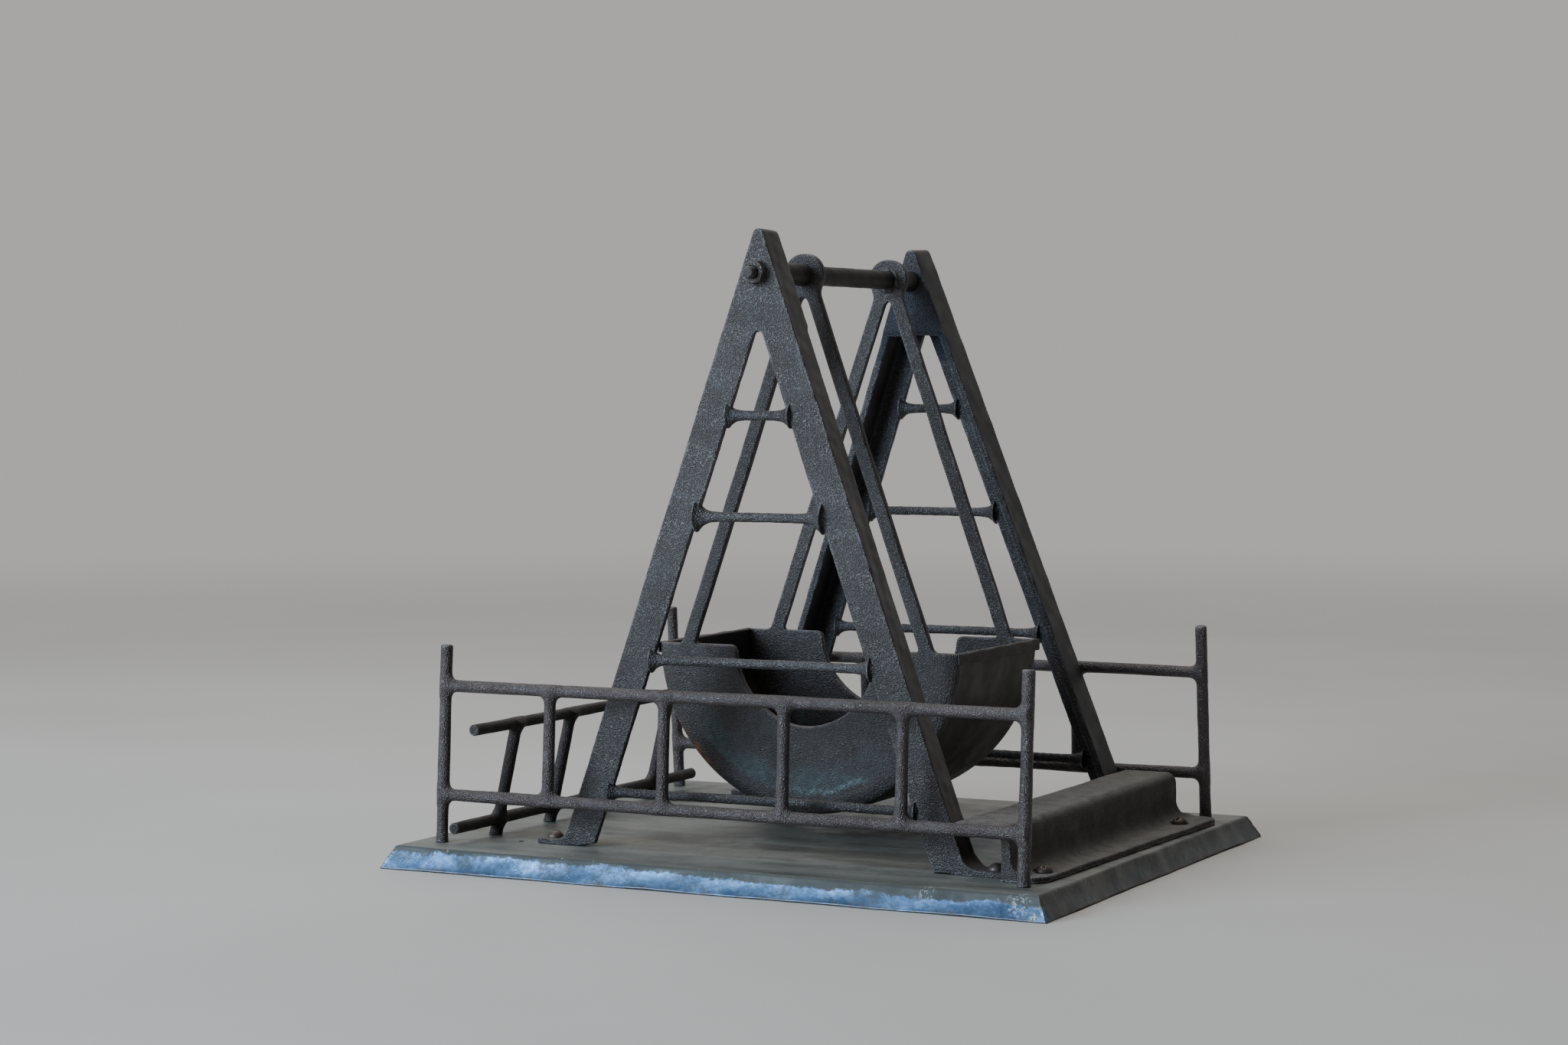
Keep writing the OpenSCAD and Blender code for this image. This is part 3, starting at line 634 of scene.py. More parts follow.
def tray():
    """Folded sheet with flared, mitred skirts, both faces and the rim: (vertices, faces)."""
    A, B, rf = TRAY_L / 2 - FLARE, TRAY_W / 2 - FLARE, 2.2
    slope = math.atan2(TRAY_H, FLARE)  # below the horizontal
    # the fold is an arc, then the skirt runs straight down to the ground
    t = rf * math.tan(slope / 2)  # tangent length
    arc = rf * slope
    skirt = math.hypot(FLARE, TRAY_H) - t
    e = [0.0] + list(np.linspace(arc / 5, arc, 5)) + list(arc + skirt * np.linspace(0, 1, 19)[1:])
    k = len(e) - 1

    def prof(s, inset):
        ang = np.minimum(s, arc) / rf
        rest = np.maximum(s - arc, 0)
        off = -t + rf * np.sin(ang) + rest * math.cos(slope) - inset * np.sin(ang)
        drop = rf * (1 - np.cos(ang)) + rest * math.sin(slope) + inset * np.cos(ang)
        return off, drop

    def stations(half, hole):
        # the flat is split at the hole, so that a small square of its own surrounds it
        a, b = -(half - t), half - t
        h = [hole - 4, hole - 2, hole, hole + 2, hole + 4]
        flat = list(np.linspace(a, h[0], int((h[0] - a) / 4.5) + 1)) + h[1:-1] + list(np.linspace(h[-1], b, int((b - h[-1]) / 4.5) + 1))
        out = np.array([a - v for v in reversed(e[1:])] + flat + [b + v for v in e[1:]])
        return out, int(np.argmin(np.abs(out - h[0])))

    (S, hi), (T, hj) = stations(A, HOLE[0]), stations(B, HOLE[1])
    ns, nt = len(S), len(T)
    s, tt = np.meshgrid(S, T, indexing="ij")
    a, b = np.abs(s) - (A - t), np.abs(tt) - (B - t)
    ex = np.maximum(np.maximum(a, b), 0)
    right = a >= b
    safe = np.maximum(ex, 1e-9)
    w = step01(ex / (arc + 1.0))
    low = np.clip((ex - arc) / skirt, 0, 1)
    side = np.where(right, np.where(s > 0, 1.0, 2.0), np.where(tt > 0, 3.0, 4.0))

    def face(inset):
        off, drop = prof(ex, inset)
        ra, rb = np.clip(a / safe, 0, 1), np.clip(b / safe, 0, 1)
        X = np.where(a > 0, np.where(right, A + off, (A - t) + ra * (off + t)), np.abs(s)) * np.sign(s)
        Y = np.where(b > 0, np.where(right, (B - t) + rb * (off + t), B + off), np.abs(tt)) * np.sign(tt)
        Z = TRAY_H - drop
        sx, sy = np.where((ex > 0) & right, np.sign(s), 0), np.where((ex > 0) & ~right, np.sign(tt), 0)
        along = np.where(right, tt, s)
        # dents die out towards the mitres, where both skirts are stiff
        far = step01((np.maximum(A - np.abs(s), 0) * (~right) + np.maximum(B - np.abs(tt), 0) * right) / 12.0)
        dent = 0.36 * wob(along, side * 57.0, low * 9, 62, 101) + 0.22 * wob(along, side * 31.0, low * 14, 17, 102)
        dent = dent - 0.5 * np.exp(-(((along - 40) / 17) ** 2)) * (side == 4) * low - 0.45 * np.exp(-(((along + 96) / 12) ** 2)) * (side == 4) * low
        dent = (dent - 0.35 * np.sin(low * math.pi * 0.9)) * far
        X, Y = X + sx * dent * w, Y + sy * dent * w
        lift = np.clip(0.35 + 0.3 * wob(along, side * 17.0, 0 * along, 48, 103) + 0.16 * wob(along, side * 7.0, 0 * along, 13, 104), 0, 1.0)
        Z = Z + lift * low ** 4 * far
        Z = Z - (0.10 + 0.09 * wob(s, tt, 0 * s, 70, 105) + 0.03 * wob(s, tt, 0 * s, 22, 106)) * (1 - w)
        if inset == 0:
            # solder on the mitres
            cor = np.exp(-(((a - b) / 1.5) ** 2)) * (np.minimum(a, b) > -1.0) * step01(ex / 1.5)
            g = cor * (0.34 + 0.3 * wob(s, tt, 3 * ex, 4.0, 107)) * 0.7
            X, Y = X + np.sign(s) * g, Y + np.sign(tt) * g
        Z = np.clip(Z, 0.0, TRAY_H)
        return np.stack([X, Y, Z], 2).reshape(-1, 3)

    top, under = face(0.0), face(SHEET)
    # the rim of the inner face comes down level with the outer one
    edge = (ex > e[-1] - 1e-6).reshape(-1)
    under[edge, 2] = np.minimum(under[edge, 2], top[edge, 2] + 0.12)
    n = ns * nt
    V = [top, under]
    F = []
    for i in range(ns - 1):
        for j in range(nt - 1):
            if hi <= i < hi + 4 and hj <= j < hj + 4:
                continue
            q = (i * nt + j, (i + 1) * nt + j, (i + 1) * nt + j + 1, i * nt + j + 1)
            ci = i - (ns - 1 - k) if i >= ns - 1 - k else (k - 1 - i if i < k else None)
            cj = j - (nt - 1 - k) if j >= nt - 1 - k else (k - 1 - j if j < k else None)
            if ci is not None and ci == cj:
                if (i < k) == (j < k):
                    F += [(q[0], q[1], q[2]), (q[0], q[2], q[3])]
                else:
                    F += [(q[0], q[1], q[3]), (q[1], q[2], q[3])]
            else:
                F.append(q)
    # rings from the square's edge to the round hole
    at = lambda i, j: i * nt + j
    loop = [at(hi + m, hj) for m in range(4)] + [at(hi + 4, hj + m) for m in range(4)] + [at(hi + 4 - m, hj + 4) for m in range(4)] + [at(hi, hj + 4 - m) for m in range(4)]
    c0 = np.array([HOLE[0], HOLE[1]])
    new, rings = [], [loop]
    for m, mixed in enumerate((0.55, 1.0, 1.0)):
        ring = []
        for v in loop:
            p = top[v, :2] - c0
            rad = HOLE[2] + (0.35 if m == 1 else (0.0 if m == 2 else 0.9))
            p = c0 + (p / np.linalg.norm(p)) * (rad * mixed + np.linalg.norm(p) * (1 - mixed))
            new.append((p[0], p[1], top[v, 2] - (0.18 if m == 2 else 0.0)))
            ring.append(2 * n + len(new) - 1)
        rings.append(ring)
    m16 = len(loop)
    for r0, r1 in zip(rings, rings[1:]):
        F += [(r0[q], r0[(q + 1) % m16], r1[(q + 1) % m16], r1[q]) for q in range(m16)]
    G = [tuple(v + n for v in reversed(f)) for f in F if max(f) < n]
    # the under side of the rings, and the hole's wall
    last = [loop_v + n for loop_v in loop]
    base = 2 * n + len(new)
    low_ring = [(V_[0], V_[1], top[loop[q], 2] - SHEET) for q, V_ in enumerate(new[-m16:])]
    new += low_ring
    lows = [base + q for q in range(m16)]
    G += [(last[(q + 1) % m16], last[q], lows[q], lows[(q + 1) % m16]) for q in range(m16)]
    G += [(rings[-1][q], rings[-1][(q + 1) % m16], lows[(q + 1) % m16], lows[q]) for q in range(m16)]
    # the rim round the bottom edge
    rim = [at(i, 0) for i in range(ns)] + [at(ns - 1, j) for j in range(1, nt)] + [at(i, nt - 1) for i in range(ns - 2, -1, -1)] + [at(0, j) for j in range(nt - 2, 0, -1)]
    G += [(rim[q], rim[q] + n, rim[(q + 1) % len(rim)] + n, rim[(q + 1) % len(rim)]) for q in range(len(rim))]
    return np.concatenate(V + [np.array(new)]), F + G


# ------------------------------------------------------------------ materials
class Mat:
    """A small helper that builds a node material on Principled BSDF, in object coordinates."""

    def __init__(self, name, metallic=0.0, specular=0.5, coat=0.0, coat_rough=0.3):
        self.m = bpy.data.materials.new(name)
        self.m.use_nodes = True
        self.t = self.m.node_tree
        self.t.nodes.clear()
        self.out = self.t.nodes.new("ShaderNodeOutputMaterial")
        self.b = self.t.nodes.new("ShaderNodeBsdfPrincipled")
        self.t.links.new(self.b.outputs[0], self.out.inputs[0])
        self.b.inputs["Metallic"].default_value = metallic
        self.b.inputs["Specular IOR Level"].default_value = specular
        self.b.inputs["Coat Weight"].default_value = coat
        self.b.inputs["Coat Roughness"].default_value = coat_rough
        tc = self.t.nodes.new("ShaderNodeTexCoord")
        self.co, self.no = tc.outputs["Object"], tc.outputs["Normal"]

    def put(self, sock, v):
        if isinstance(v, bpy.types.NodeSocket):
            self.t.links.new(v, sock)
        elif isinstance(v, (tuple, list)) and len(v) == 3 and sock.type == "RGBA":
            sock.default_value = (*v, 1)
        else:
            sock.default_value = v

    def noise(self, scale, detail=3.0, rough=0.5, vec=None, dist=0.0):
        n = self.t.nodes.new("ShaderNodeTexNoise")
        self.put(n.inputs["Vector"], vec or self.co)
        n.inputs["Scale"].default_value = scale
        n.inputs["Detail"].default_value = detail
        n.inputs["Roughness"].default_value = rough
        n.inputs["Distortion"].default_value = dist
        return n.outputs[0]

    def cells(self, scale, vec=None, feature="F1", smooth=0.0, rand=1.0):
        n = self.t.nodes.new("ShaderNodeTexVoronoi")
        n.feature = feature
        self.put(n.inputs["Vector"], vec or self.co)
        n.inputs["Scale"].default_value = scale
        n.inputs["Randomness"].default_value = rand
        if feature == "SMOOTH_F1":
            n.inputs["Smoothness"].default_value = smooth
        return n.outputs["Distance"]

    def stretch(self, s, loc=(0, 0, 0), rot=(0, 0, 0)):
        n = self.t.nodes.new("ShaderNodeMapping")
        self.put(n.inputs["Vector"], self.co)
        n.inputs["Scale"].default_value = s
        n.inputs["Location"].default_value = loc
        n.inputs["Rotation"].default_value = rot
        return n.outputs[0]

    def rng(self, v, a, b, c=0.0, d=1.0, smooth=True):
        n = self.t.nodes.new("ShaderNodeMapRange")
        n.interpolation_type = "SMOOTHSTEP" if smooth else "LINEAR"
        self.put(n.inputs["Value"], v)
        for k, q in zip(("From Min", "From Max", "To Min", "To Max"), (a, b, c, d)):
            self.put(n.inputs[k], q)
        return n.outputs[0]

    def op(self, kind, a, b=0.0, c=0.0):
        n = self.t.nodes.new("ShaderNodeMath")
        n.operation = kind
        self.put(n.inputs[0], a)
        self.put(n.inputs[1], b)
        self.put(n.inputs[2], c)
        return n.outputs[0]

    def mix(self, f, a, b, blend="MIX"):
        n = self.t.nodes.new("ShaderNodeMix")
        n.data_type = "RGBA"
        n.blend_type = blend
        self.put(n.inputs["Factor"], f)
        self.put([s for s in n.inputs if s.name == "A" and s.type == "RGBA"][0], a)
        self.put([s for s in n.inputs if s.name == "B" and s.type == "RGBA"][0], b)
        return [s for s in n.outputs if s.type == "RGBA"][0]

    def axis(self, v):
        n = self.t.nodes.new("ShaderNodeSeparateXYZ")
        self.put(n.inputs[0], v)
        return n.outputs

    def bump(self, h, dist, strength=1.0, after=None):
        n = self.t.nodes.new("ShaderNodeBump")
        self.put(n.inputs["Height"], h)
        n.inputs["Distance"].default_value = dist
        self.put(n.inputs["Strength"], strength)
        if after is not None:
            self.put(n.inputs["Normal"], after)
        return n.outputs[0]

    def wear(self, lo=0.505, hi=0.56):
        g = self.t.nodes.new("ShaderNodeNewGeometry")
        return self.rng(g.outputs["Pointiness"], lo, hi)

    def up(self, lo=0.35, hi=0.95):
        g = self.t.nodes.new("ShaderNodeNewGeometry")
        return self.rng(self.axis(g.outputs["Normal"])[2], lo, hi)

    def done(self, color, rough, normal=None, metallic=None):
        self.put(self.b.inputs["Base Color"], color)
        self.put(self.b.inputs["Roughness"], rough)
        if normal is not None:
            self.put(self.b.inputs["Normal"], normal)
        if metallic is not None:
            self.put(self.b.inputs["Metallic"], metallic)
        return self.m


def cast_iron(name, dark, mid, light, peel=1.0, face_only=False, dust=0.0, dust_col=(0.16, 0.145, 0.13), patina=None, rust=0.0, foot=None, darker_low=None, shade=None,
              rough=(0.36, 0.56), peel_wl=1.22, spec=0.5, metallic=0.35, wear=0.5):
    m = Mat(name, metallic=metallic, specular=spec)
    k = 1000.0 / peel_wl
    # orange peel: rounded pebbles of two sizes
    big = m.cells(k * 1.35, feature="SMOOTH_F1", smooth=0.8)
    mids = m.noise(k * 1.75, 0.6, 0.4, dist=0.15)
    peb = m.op("ADD", m.rng(mids, 0.22, 0.76), m.op("MULTIPLY", m.rng(big, 0.05, 0.75), -0.34))
    grain = m.noise(k * 5.0, 2.0, 0.6)
    soft = m.noise(140, 2.0, 0.5)
    flat = 1.0
    if face_only:
        ny = m.op("ABSOLUTE", m.axis(m.no)[1])
        flat = m.rng(ny, 0.35, 0.85, 0.05, 1.0)
    n1 = m.bump(soft, 0.00030, 0.4)
    n2 = m.bump(peb, 0.00040 * peel, flat, n1)
    n3 = m.bump(grain, 0.00005, m.op("MULTIPLY", flat, 0.6), n2)
    # colour: warm brown to blue-grey in clouds, with painted shade darkening the pits
    cloud = m.noise(22, 4.0, 0.6)
    cloud2 = m.noise(70, 3.0, 0.6)
    c = m.mix(m.rng(cloud, 0.35, 0.68), dark, mid)
    c = m.mix(m.rng(cloud2, 0.5, 0.75, 0.0, 0.55), c, light)
    c = m.mix(m.op("MULTIPLY", m.rng(peb, 0.45, -0.05, 0.0, 0.55), flat), c, tuple(v * 0.45 for v in dark))
    # painted highlight: bright bluish-white glints on the pebble tops
    painted_glint = m.rng(m.noise(k * 2.2, 2.0, 0.6), 0.56, 0.70)
    painted_glint = m.op("MULTIPLY", m.op("MULTIPLY", painted_glint, m.rng(peb, 0.2, 0.75)), flat)
    c = m.mix(m.op("MULTIPLY", painted_glint, 0.42), c, tuple(min(1, v * 2.2 + q) for v, q in zip(light, (0.03, 0.04, 0.06))))
    if wear:
        w = m.op("MULTIPLY", m.wear(), m.rng(m.noise(120, 3.0, 0.6), 0.38, 0.66))
        c = m.mix(m.op("MULTIPLY", w, wear), c, tuple(min(1, v * 2.2 + 0.03) for v in light))
    r = m.rng(cloud2, 0.3, 0.7, rough[0], rough[1])
    r = m.op("ADD", r, m.op("MULTIPLY", m.rng(grain, 0.3, 0.7), 0.07))
    if patina:
        # a grey-teal arc that follows the rim, ragged outside, with a pale crust along part of its lower border
        col, cx, cz, r0, r1, amount = patina
        xyz = m.axis(m.co)
        dx, dz = m.op("SUBTRACT", xyz[0], cx), m.op("SUBTRACT", xyz[2], cz)
        rad = m.op("SQRT", m.op("ADD", m.op("MULTIPLY", dx, dx), m.op("MULTIPLY", dz, dz)))
        edge = m.op("ADD", rad, m.op("MULTIPLY", m.op("SUBTRACT", m.noise(60, 6.0, 0.7), 0.5), 0.010))
        edge = m.op("ADD", edge, m.op("MULTIPLY", m.op("SUBTRACT", m.noise(330, 3.0, 0.7), 0.5), 0.005))
        band = m.op("MULTIPLY", m.rng(edge, r0 - 0.006, r0 + 0.004), m.rng(edge, r1, r1 + 0.0014, 1.0, 0.0))
        band = m.op("MULTIPLY", band, m.op("MULTIPLY", m.rng(xyz[2], cz - 0.030, cz - 0.046), m.rng(xyz[0], 0.054, 0.042)))
        band = m.op("MULTIPLY", band, m.rng(m.noise(62, 5.0, 0.65), 0.34, 0.58, 0.12, 1.0))
        spots = m.op("MULTIPLY", m.rng(m.noise(48, 5.0, 0.7), 0.60, 0.70), 0.35)
        pa = m.op("MULTIPLY", m.op("MAXIMUM", band, spots), amount)
        c = m.mix(pa, c, m.mix(m.rng(m.noise(260, 3.0, 0.6), 0.4, 0.6), col, tuple(v * 1.6 for v in col)))
        crust = m.op("MULTIPLY", m.rng(edge, r1 - 0.0034, r1 - 0.0012), m.rng(edge, r1 - 0.0002, r1 + 0.0006, 1.0, 0.0))
        crust = m.op("MULTIPLY", crust, m.op("MULTIPLY", m.rng(xyz[0], -0.004, 0.006), m.rng(xyz[0], 0.046, 0.034)))
        crust = m.op("MULTIPLY", crust, m.op("MULTIPLY", m.rng(xyz[2], 0.060, 0.050), m.rng(m.noise(520, 3.0, 0.7), 0.42, 0.54)))
        c = m.mix(m.op("MULTIPLY", crust, 0.60), c, (0.17, 0.225, 0.225))
        # painted shade on the lower rim, which sits in its own shade, with soot on it
        shade_and_soot = m.op("MULTIPLY", m.rng(edge, r1 + 0.0040, r1 + 0.0075), m.rng(xyz[2], 0.050, 0.040))
        c = m.mix(m.op("MULTIPLY", shade_and_soot, 0.80), c, (0.016, 0.015, 0.015))
        # rust on the left of the rim
        rs = m.op("MULTIPLY", m.rng(rad, r1 + 0.005, r1 + 0.009), m.op("MULTIPLY", m.rng(xyz[2], 0.076, 0.066), m.rng(xyz[2], 0.046, 0.053)))
        rs = m.op("MULTIPLY", m.op("MULTIPLY", rs, m.rng(xyz[0], -0.036, -0.044)), m.rng(m.noise(170, 4.0, 0.7), 0.44, 0.60))
        c = m.mix(m.op("MULTIPLY", rs, 0.7), c, (0.20, 0.072, 0.026))
        r = m.op("ADD", r, m.op("MULTIPLY", pa, 0.12))
    if rust:
        s = m.rng(m.noise(95, 4.0, 0.7, vec=m.stretch((1, 1, 1), (0.31, 0.7, 0.2))), 0.66, 0.76)
        c = m.mix(m.op("MULTIPLY", s, rust), c, (0.17, 0.062, 0.022))
        r = m.op("ADD", r, m.op("MULTIPLY", s, 0.15))
    if darker_low:
        # darker towards the bottom, by height
        c = m.mix(m.rng(m.axis(m.co)[2], darker_low[0], darker_low[1], 0.0, darker_low[2]), c, tuple(v * 0.42 for v in dark))
    if shade:
        sz = m.op("ADD", m.axis(m.co)[2], m.op("MULTIPLY", m.op("SUBTRACT", m.noise(40, 3.0, 0.6), 0.5), 0.010))
        sh = m.op("MULTIPLY", m.rng(sz, shade[0], shade[0] + 0.006), m.rng(sz, shade[1], shade[1] + 0.010, 1.0, 0.0))
        sh = m.op("MULTIPLY", sh, m.rng(m.axis(m.no)[1], -0.70, -0.92))
        c = m.mix(m.op("MULTIPLY", sh, shade[2]), c, (0.014, 0.022, 0.036))
        r = m.op("ADD", r, m.op("MULTIPLY", sh, 0.12))
    if foot:
        # pale dust caught in the crease where the foot meets the sheet
        fz = m.op("ADD", m.axis(m.co)[2], m.op("MULTIPLY", m.op("SUBTRACT", m.noise(300, 4.0, 0.7), 0.5), 0.0016))
        c = m.mix(m.op("MULTIPLY", m.rng(fz, foot + 0.0014, foot + 0.0006), 0.8), c, (0.21, 0.21, 0.20))
    if dust:
        d = m.op("MULTIPLY", m.up(), m.rng(m.noise(130, 4.0, 0.65), 0.30, 0.62, 0.35, 1.0))
        d = m.op("MULTIPLY", d, dust)
        c = m.mix(d, c, dust_col)
        r = m.op("ADD", r, m.op("MULTIPLY", d, 0.22))
        return m.done(c, r, n3, m.op("MULTIPLY", m.op("SUBTRACT", 1.0, d), metallic))
    return m.done(c, r, n3)


def dark_bar(name, col, rough=(0.28, 0.42), metallic=0.6, heat=0.0):
    m = Mat(name, metallic=metallic, specular=0.5)
    c = m.mix(m.rng(m.noise(45, 4.0, 0.6), 0.35, 0.7), col, tuple(v * 1.8 for v in col))
    c = m.mix(m.op("MULTIPLY", m.rng(m.noise(400, 3.0, 0.6), 0.58, 0.72), 0.5), c, (0.11, 0.085, 0.07))
    w = m.op("MULTIPLY", m.wear(0.51, 0.58), m.rng(m.noise(200, 3.0, 0.6), 0.35, 0.6))
    c = m.mix(m.op("MULTIPLY", w, 0.6), c, (0.16, 0.15, 0.14))
    if heat:
        c = m.mix(m.op("MULTIPLY", m.rng(m.noise(60, 2.0, 0.5), 0.5, 0.7), heat), c, (0.03, 0.05, 0.085))
    scr = m.noise(700, 3.0, 0.6, vec=m.stretch((1, 0.12, 1)))
    n = m.bump(m.noise(170, 2.0, 0.5), 0.0002, 0.5)
    n = m.bump(scr, 0.00006, 0.7, n)
    return m.done(c, m.rng(m.noise(90, 3.0, 0.6), 0.3, 0.7, rough[0], rough[1]), n)


def worn_sheet(name, col, brown):
    """Smooth dark sheet iron of the gondola's hull."""
    m = Mat(name, metallic=0.35, specular=0.5)
    c = m.mix(m.rng(m.noise(16, 4.0, 0.6), 0.35, 0.68), col, brown)
    c = m.mix(m.rng(m.noise(75, 5.0, 0.7), 0.55, 0.72, 0.0, 0.6), c, tuple(v * 1.7 for v in brown))
    c = m.mix(m.op("MULTIPLY", m.rng(m.noise(60, 5.0, 0.7, vec=m.stretch((1, 1, 1), (3, 1, 2))), 0.68, 0.78), 0.55), c, (0.16, 0.06, 0.022))
    d = m.op("MULTIPLY", m.up(0.3, 0.9), m.rng(m.noise(90, 4.0, 0.6), 0.3, 0.6, 0.3, 0.9))
    c = m.mix(m.op("MULTIPLY", d, 0.6), c, (0.13, 0.12, 0.11))
    w = m.op("MULTIPLY", m.wear(0.51, 0.58), 0.5)
    c = m.mix(w, c, (0.14, 0.13, 0.125))
    n = m.bump(m.noise(60, 2.0, 0.5), 0.0006, 0.35)
    n = m.bump(m.noise(900, 3.0, 0.6), 0.00010, 0.6, n)
    n = m.bump(m.noise(2600, 2.0, 0.6), 0.00004, 0.5, n)
    return m.done(c, m.op("ADD", m.rng(m.noise(50, 3.0, 0.6), 0.3, 0.7, 0.40, 0.58), m.op("MULTIPLY", d, 0.15)), n)


def zinc(name):
    m = Mat(name, specular=0.5)
    xyz = m.axis(m.co)
    z = xyz[2]
    # weathered zinc: grey-green clouds, streaks along the sheet, pale salts and dark specks
    streak = m.noise(34, 5.0, 0.65, vec=m.stretch((0.16, 1.35, 1)))
    brown = m.noise(21, 4.0, 0.6, vec=m.stretch((0.20, 1.5, 1), (0.5, 0.2, 0)))
    cloud = m.noise(13, 5.0, 0.62)
    fine = m.noise(190, 5.0, 0.7)
    c = m.mix(m.rng(cloud, 0.34, 0.68), (0.074, 0.083, 0.077), (0.125, 0.134, 0.122))
    c = m.mix(m.rng(brown, 0.46, 0.62, 0.0, 0.75), c, (0.098, 0.090, 0.070))
    c = m.mix(m.rng(streak, 0.46, 0.64, 0.0, 0.75), c, (0.050, 0.054, 0.050))
    c = m.mix(m.rng(fine, 0.52, 0.72, 0.0, 0.40), c, (0.16, 0.17, 0.155))
    # dust on what faces up
    up = m.up(0.6, 0.98)
    d = m.op("MULTIPLY", up, m.rng(m.noise(34, 5.0, 0.7, vec=m.stretch((0.25, 1.4, 1), (0.2, 0.1, 0))), 0.36, 0.62, 0.12, 0.9))
    c = m.mix(m.op("MULTIPLY", d, 0.8), c, (0.215, 0.218, 0.200))
    # the skirts are darker and rougher above, and carry a bright bluish painted reflection below
    side = m.op("MULTIPLY", m.op("SUBTRACT", 1.0, m.up(0.90, 0.985)), m.rng(xyz[1], -0.1465, -0.1495, 0.35, 1.0))
    c = m.mix(m.op("MULTIPLY", side, 0.80), c, (0.020, 0.030, 0.031))
    margin = m.op("MULTIPLY", m.rng(xyz[1], -0.128, -0.143), m.rng(xyz[0], -0.13, -0.05))
    c = m.mix(m.op("MULTIPLY", margin, 0.45), c, (0.050, 0.054, 0.050))
    # painted reflection: a ragged bright blue band low on the skirts, strongest at the front, stands in for the
    # window's light; the band is also glossier and more metallic
    jag = m.op("ADD", z, m.op("MULTIPLY", m.op("SUBTRACT", m.noise(52, 8.0, 0.74, vec=m.stretch((0.8, 1, 1.6))), 0.5), 0.010))
    jag = m.op("ADD", jag, m.op("MULTIPLY", m.op("SUBTRACT", m.noise(420, 4.0, 0.75), 0.5), 0.0042))
    lim = m.rng(xyz[0], -0.06, 0.09, 0.0098, 0.0076)
    low = m.op("MULTIPLY", m.rng(m.op("SUBTRACT", lim, jag), 0.0, 0.0013), m.rng(m.noise(46, 7.0, 0.74, vec=m.stretch((1, 1, 1), (0.4, 0, 0))), 0.34, 0.50, 0.30, 1.0))
    low = m.op("MULTIPLY", low, m.rng(xyz[1], -0.1465, -0.1495, 0.12, 1.0))
    blue = m.mix(m.rng(m.noise(240, 5.0, 0.7), 0.40, 0.62), (0.048, 0.104, 0.200), (0.086, 0.160, 0.280))
    c = m.mix(m.op("MULTIPLY", low, 0.92), c, blue)
    # a brown line where the sheet's edge meets the shelf
    c = m.mix(m.op("MULTIPLY", m.rng(jag, 0.0016, 0.0004), 0.6), c, (0.075, 0.062, 0.05))
    # crusty salts near the front right corner
    for (px, py, pz), pr_ in (((0.172, -0.1515, 0.0075), 0.0085), ((0.1815, -0.1535, 0.0035), 0.0050), ((0.124, -0.150, 0.0095), 0.0055)):
        v = m.t.nodes.new("ShaderNodeVectorMath")
        v.operation = "DISTANCE"
        m.put(v.inputs[0], m.co)
        v.inputs[1].default_value = (px, py, pz)
        spot = m.op("MULTIPLY", m.rng(v.outputs["Value"], pr_, pr_ * 0.35), m.rng(m.noise(560, 4.0, 0.75), 0.50, 0.60))
        c = m.mix(m.op("MULTIPLY", spot, 0.8), c, (0.38, 0.41, 0.42))
    pits = m.rng(m.noise(330, 4.0, 0.7), 0.61, 0.70)
    c = m.mix(m.op("MULTIPLY", pits, 0.65), c, (0.05, 0.052, 0.05))
    salt = m.rng(m.noise(420, 4.0, 0.7, vec=m.stretch((1, 1, 1), (0.9, 0.4, 0))), 0.63, 0.70)
    salt = m.op("MULTIPLY", salt, m.rng(m.noise(18, 3.0, 0.6, vec=m.stretch((1, 1, 1), (0, 0.7, 0))), 0.45, 0.62))
    c = m.mix(m.op("MULTIPLY", salt, 0.8), c, (0.36, 0.38, 0.37))
    # solder along the mitred corners
    w = m.wear(0.515, 0.60)
    c = m.mix(m.op("MULTIPLY", w, 0.35), c, (0.22, 0.23, 0.225))
    met = m.op("MULTIPLY", m.op("SUBTRACT", 1.0, m.op("MULTIPLY", d, 0.9)), m.rng(low, 0.0, 1.0, 0.18, 0.8))
    r = m.rng(m.noise(70, 4.0, 0.6), 0.3, 0.7, 0.30, 0.48)
    r = m.op("SUBTRACT", m.op("ADD", r, m.op("MULTIPLY", d, 0.14)), m.op("MULTIPLY", low, 0.22))
    r = m.op("ADD", r, m.op("MULTIPLY", side, 0.18))
    n = m.bump(m.noise(55, 3.0, 0.55), 0.0007, 0.35)
    n = m.bump(m.noise(260, 4.0, 0.6), 0.00022, 0.55, n)
    n = m.bump(m.noise(1100, 3.0, 0.6), 0.00006, 0.6, n)
    return m.done(c, r, n, met)


def screw_mat(name, a, b, rust):
    m = Mat(name, metallic=0.5, specular=0.5)
    c = m.mix(m.rng(m.noise(260, 4.0, 0.65), 0.38, 0.66), a, b)
    c = m.mix(m.op("MULTIPLY", m.rng(m.noise(420, 4.0, 0.7), 0.55, 0.68), rust), c, (0.19, 0.075, 0.03))
    c = m.mix(m.op("MULTIPLY", m.wear(0.52, 0.60), 0.6), c, (0.30, 0.27, 0.24))
    n = m.bump(m.noise(900, 3.0, 0.6), 0.00012, 0.8)
    return m.done(c, m.rng(m.noise(500, 3.0, 0.6), 0.3, 0.7, 0.38, 0.62), n)


M_FRAME = cast_iron("frame_casting", (0.056, 0.048, 0.046), (0.080, 0.072, 0.072), (0.112, 0.112, 0.126), face_only=True, dust=0.25, peel=1.0, rough=(0.32, 0.48), metallic=0.25, spec=0.6, darker_low=(0.25, 0.05, 0.55))
